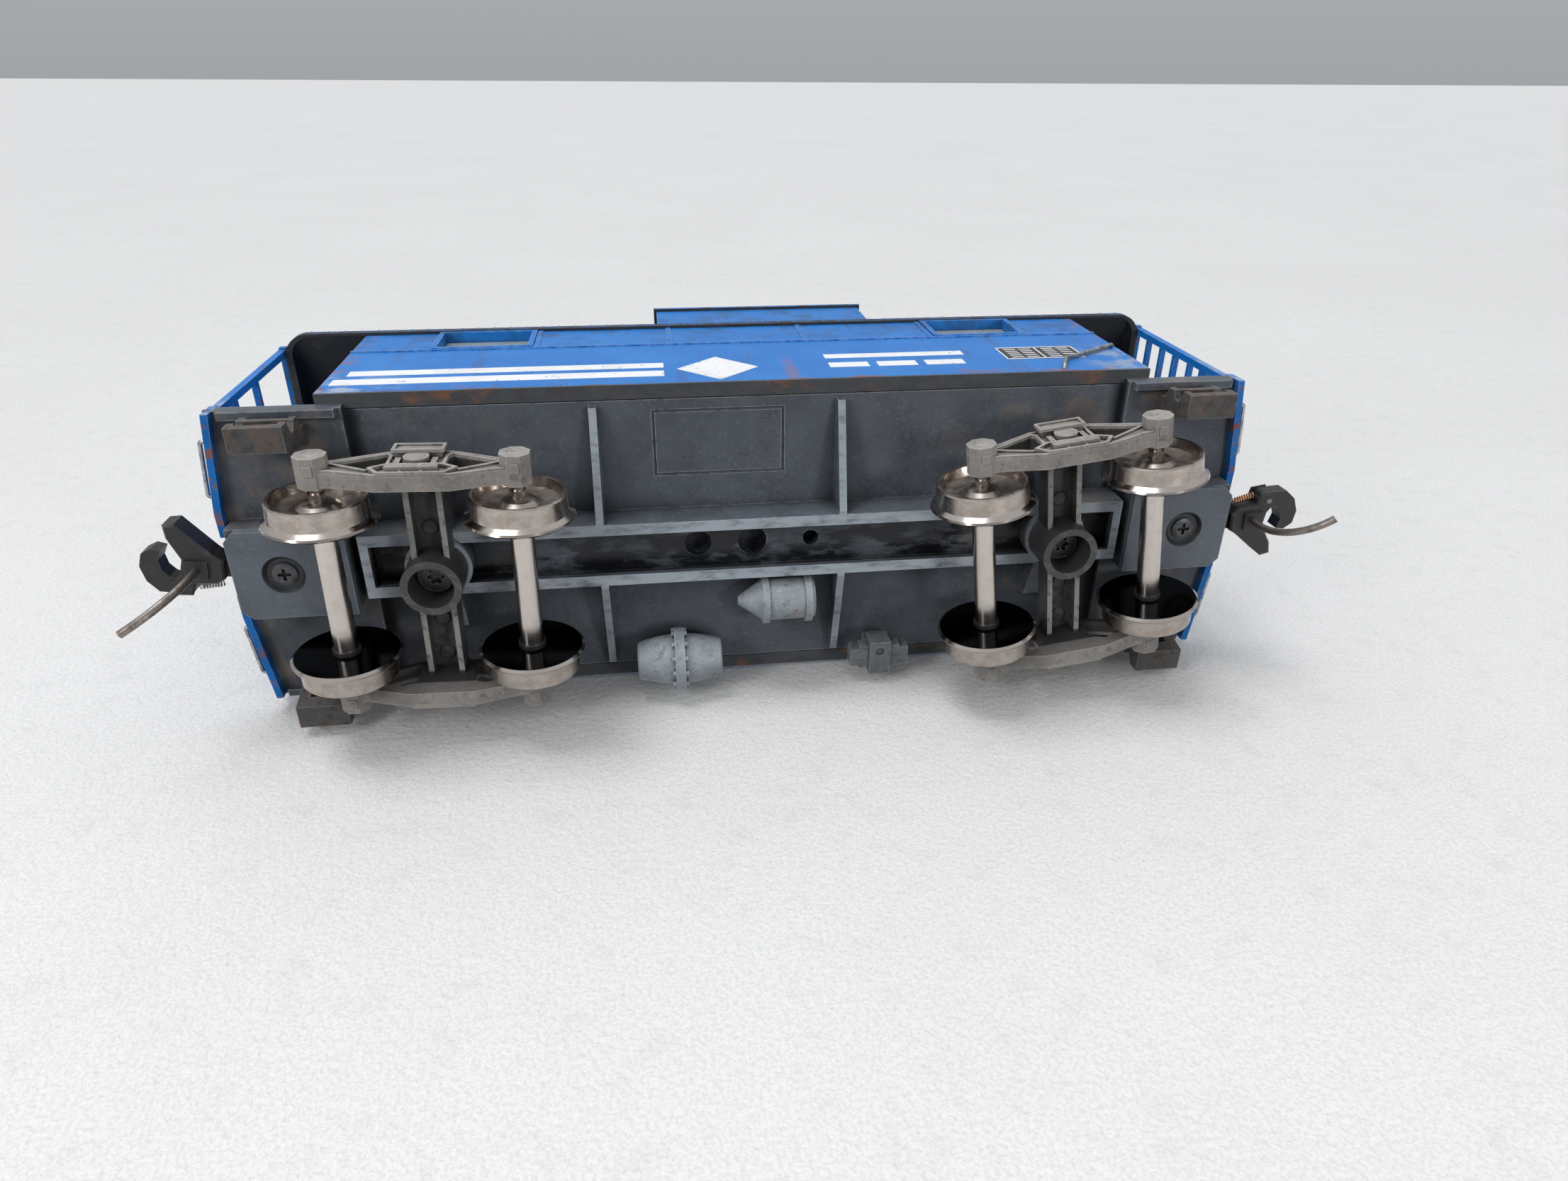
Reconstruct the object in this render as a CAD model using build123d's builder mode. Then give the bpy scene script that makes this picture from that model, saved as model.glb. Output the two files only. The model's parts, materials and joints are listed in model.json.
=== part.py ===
from build123d import *
import os
from math import cos, radians, sin, sqrt

# HO scale (1:87) model of a steel railway caboose: a cabin car with a cupola, two end
# platforms, two swivelling four-wheel trucks and a magnetic knuckle coupler at each end.
# Millimetres. +X runs along the car, +Z is up, and z = 0 is the lowest point of the wheel
# flanges, under the middle of the car.

# --- wheels and trucks --------------------------------------------------------------------
flange_radius = 5.45
tread_radius = 4.8
wheel_inner_face = 7.25
wheel_outer_face = 10.0
axle_height = flange_radius
axle_radius = 1.2
stub_radius = 0.6
stub_tip = 13.1
journal_hole_radius = 0.68
truck_spacing = 66.8
wheelbase = 18.6
truck_turn = {"a": 1.5, "b": -7.4}

# --- underframe and body ------------------------------------------------------------------
body_length = 87.4
body_width = 34.8
wall = 1.5
sill_height = 14.2
platform_thickness = 1.2
platform_end = 54.2
platform_taper = 1.2
platform_half_width = 16.4
floor_thickness = 1.4
sill_flange_height = 10.2
sill_half_width = 3.57
channel_floor = 12.4
boss_radius = 3.4
boss_height = 9.5

# --- roof and cupola ----------------------------------------------------------------------
eave_height = 38.6
eave_half_width = 17.75
roof_rise = 5.0
roof_thickness = 1.0
canopy_end = 53.4
cupola_middle = 4.4
cupola_length = 27.2
cupola_half_width = 16.8
cupola_top = 49.3
cupola_rise = 3.2

# --- couplers -----------------------------------------------------------------------------
coupler_pivot = 48.75
coupler_height = 10.83
coupler_turn = {"a": 8.0, "b": -5.0}
lid_bottom = 9.5
lid_top = 10.3
lid_inner_end = 42.2
lid_outer_end = 53.75
lid_half_width = 4.93
pocket_roof = 11.6

os.makedirs("parts", exist_ok=True)
standing = (Align.CENTER, Align.CENTER, Align.MIN)


def write(piece, node):
    """Label a finished piece and write it as its own node."""
    piece.label = node
    export_step(piece, f"parts/{node}.step")


def end_place(end):
    """The end at +X is 'b'; the end at -X is 'a', the same end turned half round."""
    return Location((0, 0, 0), (0, 0, 0 if end == "b" else 180))


def arc_radius(half_chord, rise):
    return (half_chord**2 + rise**2) / (2 * rise)


def arched_block(half_width, bottom, radius, crown, half_length):
    """A block along X with a flat bottom, upright sides and an arched top."""
    edge = crown - radius + sqrt(radius**2 - half_width**2)
    with BuildPart(mode=Mode.PRIVATE) as block:
        with BuildSketch(Plane.YZ):
            with BuildLine():
                Polyline((-half_width, edge), (-half_width, bottom), (half_width, bottom), (half_width, edge))
                ThreePointArc((half_width, edge), (0, crown), (-half_width, edge))
            make_face()
        extrude(amount=half_length, both=True)
    return block.part


roof_radius = arc_radius(eave_half_width, roof_rise)
roof_crown = eave_height + roof_rise
roof_axis = roof_crown - roof_radius
ceiling_crown = roof_crown - roof_thickness
ceiling_radius = roof_radius - roof_thickness

# --- body shell ---------------------------------------------------------------------------
window_x = 29.4
window_size = (10.2, 6.6)
window_z = 33.85
door_size = (9.0, 20.5)
end_window_size = (5.2, 6.4)
end_window_y = 10.8
fit_gap = 0.05

with BuildPart() as body_shell:
    add(arched_block(body_width / 2, sill_height, ceiling_radius - fit_gap, ceiling_crown - fit_gap,
                     body_length / 2))
    with Locations((0, 0, sill_height - 1)):
        Box(body_length - 2 * wall, body_width - 2 * wall, 40,
            align=standing, mode=Mode.SUBTRACT)
    # window frames stand a little proud of the sides, and the belt rail runs under them
    with Locations(*[(x, y, window_z) for x in (-window_x, window_x)
                     for y in (-body_width / 2, body_width / 2)]):
        Box(window_size[0] + 1.2, 0.5, window_size[1] + 0.8)
    with Locations((0, -body_width / 2, 29.9), (0, body_width / 2, 29.9)):
        Box(body_length, 0.3, 0.45)
    with Locations((-window_x, 0, window_z), (window_x, 0, window_z)):
        Box(window_size[0], body_width + 4, window_size[1], mode=Mode.SUBTRACT)
    with Locations((0, 0, sill_height + door_size[1] / 2)):
        Box(body_length + 4, door_size[0], door_size[1] + 0.02, mode=Mode.SUBTRACT)
    with Locations((0, -end_window_y, 30.5), (0, end_window_y, 30.5)):
        Box(body_length + 4, end_window_size[0], end_window_size[1], mode=Mode.SUBTRACT)
write(body_shell.part, "body_shell")

# --- window glazing: clear mouldings pushed into the openings from inside -----------------
pane_lip = 0.6
pane_thickness = 0.7

with BuildPart() as side_glazing:
    for side in (-1, 1):
        inner = side * (body_width / 2 - wall - pane_thickness / 2)
        plug = side * (body_width / 2 - wall + 0.25)
        with Locations(*[(x, inner, window_z) for x in (-window_x, window_x)]):
            Box(window_size[0] + 2 * pane_lip, pane_thickness, window_size[1] - 0.2)
        with Locations(*[(x, plug, window_z) for x in (-window_x, window_x)]):
            Box(window_size[0] - 0.1, 0.5, window_size[1] - 0.2)
write(side_glazing.part, "side_glazing")

with BuildPart() as end_glazing:
    for end in (-1, 1):
        plug = end * (body_length / 2 - wall / 2)
        with Locations(*[(plug, y, 30.5) for y in (-end_window_y, end_window_y)]):
            Box(0.8, end_window_size[0] - 0.1, end_window_size[1] - 0.1)
write(end_glazing.part, "end_glazing")

# --- end doors: panelled leaves set in the end walls --------------------------------------
for end in ("a", "b"):
    with BuildPart() as end_door:
        door_face = body_length / 2 - 0.25
        with Locations((door_face - 0.5, 0, sill_height + door_size[1] / 2)):
            Box(1.0, door_size[0] - 0.1, door_size[1] - 0.1)
        with Locations((door_face, 0, sill_height + 14.6)):
            Box(0.5, 4.4, 5.6, mode=Mode.SUBTRACT)
        with Locations((door_face, -1.75, sill_height + 5.6), (door_face, 1.75, sill_height + 5.6)):
            Box(0.5, 2.6, 7.6, mode=Mode.SUBTRACT)
        with Locations(Location((door_face, 3.6, sill_height + 9.8), (0, 90, 0))):
            Cylinder(0.3, 0.6)
    write(end_door.part.moved(end_place(end)), f"end_door_{end}")

# --- roof: an arched shell with a rim, its corners rounded in plan ------------------------
roof_rim = 0.3
canopy_rim = 0.8
rim_bottom = 37.6

with BuildPart() as roof:
    add(arched_block(eave_half_width, rim_bottom, roof_radius, roof_crown, canopy_end))
    with BuildSketch(Plane.XY.offset(rim_bottom)):
        RectangleRounded(2 * canopy_end, 2 * eave_half_width, 3.0)
    extrude(amount=20, mode=Mode.INTERSECT)
    with BuildPart(mode=Mode.PRIVATE) as hollow:
        add(arched_block(eave_half_width - roof_rim, rim_bottom - 1, ceiling_radius, ceiling_crown,
                         canopy_end - canopy_rim))
        with BuildSketch(Plane.XY.offset(rim_bottom - 1)):
            RectangleRounded(2 * (canopy_end - canopy_rim), 2 * (eave_half_width - roof_rim), 2.4)
        extrude(amount=20, mode=Mode.INTERSECT)
    add(hollow.part, mode=Mode.SUBTRACT)
write(roof.part, "roof")

# --- cupola -------------------------------------------------------------------------------
cupola_wall = 1.2
cupola_window = (7.6, 4.2)
cupola_window_z = 46.3
cupola_window_y = (-10.4, 0, 10.4)


def under_roof(gap):
    """Everything below the roof's outer surface, raised by a gap."""
    return arched_block(eave_half_width - 0.01, 0, roof_radius + gap, roof_crown + gap, canopy_end)


with BuildPart() as cupola:
    with Locations((cupola_middle, 0, 30)):
        Box(cupola_length + 2.4, 2 * cupola_half_width + 0.6, 30, align=standing)
    # a flashing round the foot follows the roof's curve
    add(arched_block(eave_half_width, 0, roof_radius + 1.4, roof_crown + 1.4, 30)
        .moved(Location((cupola_middle, 0, 0))), mode=Mode.INTERSECT)
    with Locations((cupola_middle, 0, 30)):
        Box(cupola_length, 2 * cupola_half_width, cupola_top - 30, align=standing)
    add(under_roof(0.02), mode=Mode.SUBTRACT)
    with Locations((cupola_middle, 0, 30)):
        Box(cupola_length - 2 * cupola_wall, 2 * (cupola_half_width - cupola_wall), 40,
            align=standing, mode=Mode.SUBTRACT)
    with Locations(*[(cupola_middle, y, cupola_window_z) for y in cupola_window_y]):
        Box(cupola_length + 4, cupola_window[0], cupola_window[1], mode=Mode.SUBTRACT)
write(cupola.part, "cupola")

with BuildPart() as cupola_glazing:
    for end in (-1, 1):
        plug = cupola_middle + end * (cupola_length / 2 - cupola_wall / 2)
        with Locations(*[(plug, y, cupola_window_z) for y in cupola_window_y]):
            Box(0.7, cupola_window[0] - 0.1, cupola_window[1] - 0.1)
write(cupola_glazing.part, "cupola_glazing")

cupola_eave = cupola_half_width + 0.35
cupola_radius = arc_radius(cupola_eave, cupola_rise)
cupola_crown = cupola_top + 0.6 + cupola_rise

with BuildPart() as cupola_roof:
    add(arched_block(cupola_eave, cupola_top, cupola_radius, cupola_crown, cupola_length / 2 + 0.35)
        .moved(Location((cupola_middle, 0, 0))))
    with Locations((cupola_middle, 0, cupola_top)):
        Box(cupola_length - 3, 2 * cupola_half_width - 3, 1.2, mode=Mode.SUBTRACT)
write(cupola_roof.part, "cupola_roof")

# --- smoke jack: a stove pipe with a cap on the roof --------------------------------------
jack_x = -24.0
jack_y = 7.5
jack_foot = roof_axis + sqrt(roof_radius**2 - jack_y**2)

with BuildPart() as smoke_jack:
    with Locations((jack_x, jack_y, jack_foot - 0.5)):
        Cylinder(1.9, 1.0, align=standing)
        Cylinder(1.0, 5.2, align=standing)
    with Locations((jack_x, jack_y, jack_foot + 4.4)):
        Cone(1.7, 0.7, 1.0, align=standing)
    add(under_roof(0), mode=Mode.SUBTRACT)
write(smoke_jack.part, "smoke_jack")

# --- underframe: floor, platforms, centre sill, cross-bearers and coupler pockets ---------
floor_half_length = body_length / 2 - wall - 0.1
floor_half_width = body_width / 2 - wall - 0.1
bearer_positions = (-16.6, 9.4)
bearer_width = 0.8
pocket_half_width = 3.2
pocket_mouth = 2.1
stand_holes = ((-6.3, 1.45), (-0.3, 1.6), (6.2, 0.9))
panel_middle = (-3.6, -11.0)
panel_size = (14.0, 7.3)

with BuildPart() as underframe:
    with BuildSketch(Plane.XY.offset(sill_height)):
        Rectangle(2 * floor_half_length, 2 * floor_half_width)
    extrude(amount=floor_thickness)
    # end platforms, their outer edge drawn back towards the corners
    for end in (-1, 1):
        with BuildSketch(Plane.XY.offset(sill_height - platform_thickness)):
            with BuildLine():
                corner = end * (platform_end - platform_taper)
                Polyline((end * 41.0, -platform_half_width), (corner, -platform_half_width),
                         (end * platform_end, -6), (end * platform_end, 6),
                         (corner, platform_half_width), (end * 41.0, platform_half_width), close=True)
            make_face()
        extrude(amount=platform_thickness)
    # platform side lips
    with Locations(*[(x, y, sill_height - platform_thickness - 0.3) for x in (-47, 47)
                     for y in (-platform_half_width + 0.4, platform_half_width - 0.4)]):
        Box(11.0, 0.8, 0.8)
    # centre sill: two Z-shaped beams with a shallow channel between them
    with Locations(*[(0, y, sill_flange_height) for y in (-sill_half_width + 0.61, sill_half_width - 0.61)]):
        Box(82.4, 1.22, 0.6, align=standing)
    with Locations(*[(0, y, sill_flange_height) for y in (-sill_half_width + 0.35, sill_half_width - 0.35)]):
        Box(82.4, 0.7, sill_height - sill_flange_height + 0.1, align=standing)
    with Locations((0, 0, channel_floor)):
        Box(82.4, 2 * sill_half_width, sill_height - channel_floor + 0.1, align=standing)
    with Locations((-40.75, 0, sill_flange_height), (40.75, 0, sill_flange_height)):
        Box(0.9, 2 * sill_half_width, 2.4, align=standing)
    # cross-bearers: deep at the centre sill, shallow at the sides
    for side in (-1, 1):
        for x in bearer_positions:
            with BuildSketch(Plane.YZ.offset(x)):
                with BuildLine():
                    Polyline((side * 3.0, sill_flange_height + 0.1), (side * 3.9, sill_flange_height + 0.1),
                             (side * 15.3, 13.4), (side * 15.3, sill_height + 0.1),
                             (side * 3.0, sill_height + 0.1), close=True)
                make_face()
            extrude(amount=bearer_width / 2, both=True)
        for x in (-truck_spacing / 2, truck_spacing / 2):
            with BuildSketch(Plane.YZ.offset(x)):
                with BuildLine():
                    Polyline((side * 2.0, 10.6), (side * 3.4, 10.6), (side * 9.0, 12.9),
                             (side * 9.0, sill_height + 0.1), (side * 2.0, sill_height + 0.1), close=True)
                make_face()
            extrude(amount=1.4, both=True)
    # bosses that the trucks turn against
    with Locations(*[(x, 0, boss_height) for x in (-truck_spacing / 2, truck_spacing / 2)]):
        Cylinder(boss_radius, sill_height - boss_height + 0.1, align=standing)
    # coupler pockets
    with Locations(*[(end * (lid_inner_end + lid_outer_end) / 2, 0, lid_top) for end in (-1, 1)]):
        Box(lid_outer_end - lid_inner_end, 2 * lid_half_width,
            sill_height - platform_thickness - lid_top + 0.1, align=standing)
    with Locations(*[(end * (45.4 + 52.0) / 2, 0, lid_top) for end in (-1, 1)]):
        Box(52.0 - 45.4, 2 * pocket_half_width, pocket_roof - lid_top,
            align=standing, mode=Mode.SUBTRACT)
    with Locations(*[(end * 53.0, 0, lid_top) for end in (-1, 1)]):
        Box(3.0, 2 * pocket_mouth, pocket_roof - lid_top,
            align=standing, mode=Mode.SUBTRACT)
    with Locations(*[(end * coupler_pivot, 0, lid_top) for end in (-1, 1)]):
        Cylinder(0.95, 1.6, align=standing)
    # screw bores in the pocket posts and the truck bosses
    with Locations(*[(end * coupler_pivot, 0, lid_top - 0.1) for end in (-1, 1)]):
        Cylinder(0.6, 3.2, align=standing, mode=Mode.SUBTRACT)
    with Locations(*[(x, 0, boss_height - 0.1) for x in (-truck_spacing / 2, truck_spacing / 2)]):
        Cylinder(0.9, 5.1, align=standing, mode=Mode.SUBTRACT)
    # open holes in the channel floor
    for x, radius in stand_holes:
        with Locations((x, 0, channel_floor - 0.1)):
            Cylinder(radius, 2.6, align=standing, mode=Mode.SUBTRACT)
    # a shallow moulded panel outline on the floor
    with BuildSketch(Plane.XY.offset(sill_height)):
        with Locations(panel_middle):
            Rectangle(*panel_size)
            Rectangle(panel_size[0] - 0.6, panel_size[1] - 0.6, mode=Mode.SUBTRACT)
    extrude(amount=0.2, mode=Mode.SUBTRACT)
write(underframe.part, "underframe")

# --- steel weight on the floor, inside the body -------------------------------------------
with BuildPart() as steel_weight:
    with Locations((0, 0, sill_height + floor_thickness)):
        Box(74, 27, 3.0, align=standing)
    chamfer(steel_weight.edges().group_by(Axis.Z)[-1], 0.4)
write(steel_weight.part, "steel_weight")

# --- coupler pocket lids ------------------------------------------------------------------
for end in ("a", "b"):
    with BuildPart() as pocket_lid:
        with Locations(((lid_inner_end + lid_outer_end) / 2, 0, lid_bottom)):
            Box(lid_outer_end - lid_inner_end, 2 * lid_half_width, lid_top - lid_bottom, align=standing)
        chamfer(pocket_lid.edges().filter_by(Axis.Z).group_by(Axis.X)[-1], 1.0)
        with Locations((coupler_pivot, 0, lid_bottom - 0.01)):
            Cone(2.15, 1.75, 0.46, align=standing, mode=Mode.SUBTRACT)
            Cylinder(0.7, 2, align=standing, mode=Mode.SUBTRACT)
    write(pocket_lid.part.moved(end_place(end)), f"coupler_lid_{end}")

# --- screws -------------------------------------------------------------------------------
with BuildPart() as lid_screws:
    for end in (-1, 1):
        with BuildSketch(Plane.XZ):
            with BuildLine():
                middle = end * coupler_pivot
                Polyline((middle, 9.62), (middle + 0.9, 9.62), (middle + 1.25, 9.75), (middle + 1.25, 9.95),
                         (middle + 0.6, 9.95), (middle + 0.6, 13.2), (middle, 13.4), close=True)
            make_face()
        revolve(axis=Axis((end * coupler_pivot, 0, 0), (0, 0, 1)))
        with Locations((end * coupler_pivot, 0, 9.6)):
            Box(1.3, 0.34, 0.5, mode=Mode.SUBTRACT)
            Box(0.34, 1.3, 0.5, mode=Mode.SUBTRACT)
write(lid_screws.part, "lid_screws")

hub_floor = 8.4
screw_head_height = 0.9

with BuildPart() as truck_screws:
    for x in (-truck_spacing / 2, truck_spacing / 2):
        with Locations((x, 0, hub_floor - 0.1 - screw_head_height)):
            Cylinder(1.7, screw_head_height, align=standing)
            Cylinder(0.9, 6.6, align=standing)
        with BuildSketch(Plane((x, 0, hub_floor - 0.1 - screw_head_height))):
            Circle(0.62)
            with PolarLocations(0.66, 6):
                Circle(0.22)
        extrude(amount=0.5, mode=Mode.SUBTRACT)
write(truck_screws.part, "truck_screws")

# --- end railings: sill plate, corner posts, hand rails and ladder ------------------------
post_y = 15.4
post_x = 53.84
rail_height = 27.7
top_bar_height = 39.2
rung_heights = (20.3, 24.0, 31.2, 34.9)
bar = 0.8


def railing():
    with BuildPart() as end_railing:
        # sill plate outside the end beam, bent back towards the corners
        for side in (-1, 1):
            with BuildSketch(Plane.XY.offset(12.0)):
                with BuildLine():
                    inner = platform_end + 0.02
                    corner = (inner - platform_taper, side * platform_half_width)
                    Polyline((inner, side * 3.4), (inner, side * 6), corner, (corner[0] + 0.7, corner[1]),
                             (inner + 0.7, side * 6), (inner + 0.7, side * 3.4), close=True)
                make_face()
            extrude(amount=2.7)
        with Locations((platform_end + 0.37, 0, 14.1)):
            Box(0.7, 7.2, 1.2)
        # corner posts, from the deck to the canopy
        with Locations(*[(post_x, side * post_y, sill_height) for side in (-1, 1)]):
            Box(bar, bar, top_bar_height - sill_height, align=standing)
        with Locations((post_x, 0, top_bar_height - 0.4)):
            Box(bar, 2 * post_y + 1.2, bar)
        # hand rail on the corner post and on the gate post each side of the opening
        with Locations(*[(post_x, side * 4.2, sill_height) for side in (-1, 1)]):
            Box(bar, bar, rail_height - sill_height + 0.4, align=standing)
        with Locations(*[(post_x, side * (post_y + 4.2) / 2, z) for side in (-1, 1)
                         for z in (rail_height, 21.0)]):
            Box(bar * 0.8, post_y - 4.2, bar * 0.8)
        # ladder at one corner
        with Locations((post_x, -9.4, sill_height)):
            Box(bar, bar, top_bar_height - sill_height, align=standing)
        with Locations(*[(post_x, -12.2, z) for z in rung_heights]):
            Box(0.6, 5.6, 0.6)
        # deck tabs that the posts stand on
        with Locations(*[(post_x - 0.3, side * y, sill_height + 0.25) for side in (-1, 1)
                         for y in (4.2, post_y)]):
            Box(1.6, 1.4, 0.5)
        with Locations((post_x - 0.3, -9.4, sill_height + 0.25)):
            Box(1.6, 1.4, 0.5)
    return end_railing.part


for end in ("a", "b"):
    write(railing().moved(end_place(end)), f"end_railing_{end}")

# --- hand brake: a staff and a spoked wheel on each platform ------------------------------
brake_y = 7.4
brake_top = 30.2

for end in ("a", "b"):
    with BuildPart() as brake_wheel:
        with Locations((51.4, brake_y, sill_height)):
            Cylinder(0.9, 0.5, align=standing)
            Cylinder(0.35, brake_top - sill_height, align=standing)
        with Locations((51.4, brake_y, brake_top)):
            Torus(2.3, 0.3)
            Cylinder(0.7, 0.6)
        with Locations(*[Location((51.4, brake_y, brake_top), (0, 0, 60 * k)) for k in range(3)]):
            Box(4.6, 0.4, 0.3)
    write(brake_wheel.part.moved(end_place(end)), f"brake_wheel_{end}")

# --- steps: a riveted pan with an open riser below each platform corner -------------------
step_x = (44.55, 49.75)
step_bottom = 6.4
stringer = 0.6


def step(x_sign, y_sign):
    middle = x_sign * (step_x[0] + step_x[1]) / 2
    length = step_x[1] - step_x[0]
    with BuildPart() as pan:
        with BuildSketch(Plane.YZ.offset(middle)):
            with BuildLine():
                Polyline((y_sign * 14.2, step_bottom), (y_sign * 16.75, step_bottom),
                         (y_sign * 16.75, step_bottom + 0.9), (y_sign * 14.75, step_bottom + 0.9),
                         (y_sign * 13.4, 12.7), (y_sign * 12.75, 12.7), close=True)
            make_face()
        extrude(amount=length / 2, both=True)
        with Locations((middle, y_sign * 15.0, 10.1)):
            Box(length, 2.6, 0.6)
        for x in (middle - length / 2 + stringer / 2, middle + length / 2 - stringer / 2):
            with BuildSketch(Plane.YZ.offset(x)):
                with BuildLine():
                    Polyline((y_sign * 14.2, step_bottom), (y_sign * 16.75, step_bottom),
                             (y_sign * 16.75, 7.9), (y_sign * 15.4, 8.7), (y_sign * 15.4, 9.4),
                             (y_sign * 16.3, 9.9), (y_sign * 16.3, 10.9), (y_sign * 15.0, 11.6),
                             (y_sign * 15.0, 12.7), (y_sign * 12.75, 12.7), close=True)
                make_face()
            extrude(amount=stringer / 2, both=True)
        # slotted riser above the bottom tread
        with Locations((middle, y_sign * 14.2, 8.5)):
            with Locations(Location((0, 0, 0), (90, 0, 0))):
                Box(2.9, 1.3, 3.0, mode=Mode.SUBTRACT)
    return pan.part


for end, x_sign in (("a", -1), ("b", 1)):
    for side, y_sign in (("near", -1), ("far", 1)):
        write(step(x_sign, y_sign), f"step_{end}_{side}")

# --- wire grab irons outside the sill plates, and curved hand rails on the body corners ---
wire = 0.22
rail_gap = 0.35


def wire_along(points, corner):
    """A bent wire: straight runs through the points with rounded corners."""
    with BuildPart() as bent:
        with BuildLine() as route:
            FilletPolyline(*points, radius=corner)
        with BuildSketch(Plane(route.line @ 0, z_dir=route.line % 0)):
            Circle(wire)
        sweep()
    return bent.part


grabs = []
rails = []
for x_sign in (-1, 1):
    for y_sign in (-1, 1):
        grabs.append(wire_along([(x_sign * 54.74, y_sign * 7.6, 12.9), (x_sign * 55.35, y_sign * 7.6, 12.9),
                                 (x_sign * 54.75, y_sign * 13.4, 12.9),
                                 (x_sign * 54.07, y_sign * 13.4, 12.9)], 0.3))
# a rail beside the steps at two opposite corners
for x_sign, y_sign in ((-1, 1), (1, -1)):
    y_wall = y_sign * body_width / 2
    y_wire = y_sign * (body_width / 2 + rail_gap)
    rails.append(wire_along([(x_sign * 34.3, y_wall, 15.3), (x_sign * 34.3, y_wire, 15.3),
                             (x_sign * 35.7, y_wire, 18.5), (x_sign * 37.6, y_wire, 19.5),
                             (x_sign * 43.2, y_wire, 23.3), (x_sign * 43.2, y_wall, 23.3)], 0.3))

with BuildPart() as grab_irons:
    add(grabs)
write(grab_irons.part, "grab_irons")

with BuildPart() as corner_handrails:
    add(rails)
write(corner_handrails.part, "corner_handrails")

# --- air brake gear under the floor -------------------------------------------------------
reservoir_middle = (-8.9, 13.6, 10.6)
reservoir_half_length = 4.75

with BuildPart() as air_reservoir:
    with BuildSketch(Plane(reservoir_middle)):
        with BuildLine():
            Line((-reservoir_half_length, 0), (-reservoir_half_length, 2.05))
            ThreePointArc((-reservoir_half_length, 2.05), (0, 2.85), (reservoir_half_length, 2.05))
            Line((reservoir_half_length, 2.05), (reservoir_half_length, 0))
            Line((reservoir_half_length, 0), (-reservoir_half_length, 0))
        make_face()
        with Locations((0, 1.78)):
            Rectangle(1.1, 3.56)
    revolve(axis=Axis(reservoir_middle, (1, 0, 0)))
    with Locations(*[Location((reservoir_middle[0], reservoir_middle[1] + 3.2 * cos(radians(a)),
                               reservoir_middle[2] + 3.2 * sin(radians(a))), (0, 90, 0))
                     for a in range(0, 360, 30)]):
        Cylinder(0.28, 1.7)
    fillet(air_reservoir.edges().filter_by(GeomType.CIRCLE).group_by(Axis.X)[0], 0.35)
    fillet(air_reservoir.edges().filter_by(GeomType.CIRCLE).group_by(Axis.X)[-1], 0.35)
write(air_reservoir.part, "air_reservoir")

cylinder_middle = (2.2, 7.0, 11.45)

with BuildPart() as brake_cylinder:
    with BuildSketch(Plane(cylinder_middle)):
        with BuildLine():
            Polyline((-4.3, 0), (-4.3, 0.5), (-3.7, 0.9), (-1.6, 2.3), (-1.6, 2.75), (-0.9, 2.75),
                     (-0.9, 2.4), (3.2, 2.4), (3.2, 2.75), (3.9, 2.75), (3.9, 2.5), (4.3, 2.2),
                     (4.3, 0), close=True)
        make_face()
    revolve(axis=Axis(cylinder_middle, (1, 0, 0)))
write(brake_cylinder.part, "brake_cylinder")

valve_middle = (14.2, 14.6)

with BuildPart() as control_valve:
    with Locations((*valve_middle, 9.4)):
        Box(2.4, 4.2, 2.6, align=standing)
    with Locations((*valve_middle, 9.8)):
        Box(6.8, 2.2, 1.9, align=standing)
        Box(4.6, 2.9, 1.6, align=standing)
    with Locations((*valve_middle, 11.2)):
        Box(2.6, 1.8, sill_height - 11.2, align=standing)
    with Locations((valve_middle[0], valve_middle[1] - 0.9, 9.4)):
        Cylinder(0.55, 0.7, mode=Mode.SUBTRACT)
write(control_valve.part, "control_valve")

# --- trucks -------------------------------------------------------------------------------
frame_inner = 11.2
frame_outer = 12.7
journal_inner = 11.0
journal_outer = 14.1
journal_radius = 1.54
bolster_half_width = 1.85
bolster_top = 9.45


def truck_place(name):
    x = -truck_spacing / 2 if name == "a" else truck_spacing / 2
    return Location((x, 0, 0), (0, 0, truck_turn[name]))


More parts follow.
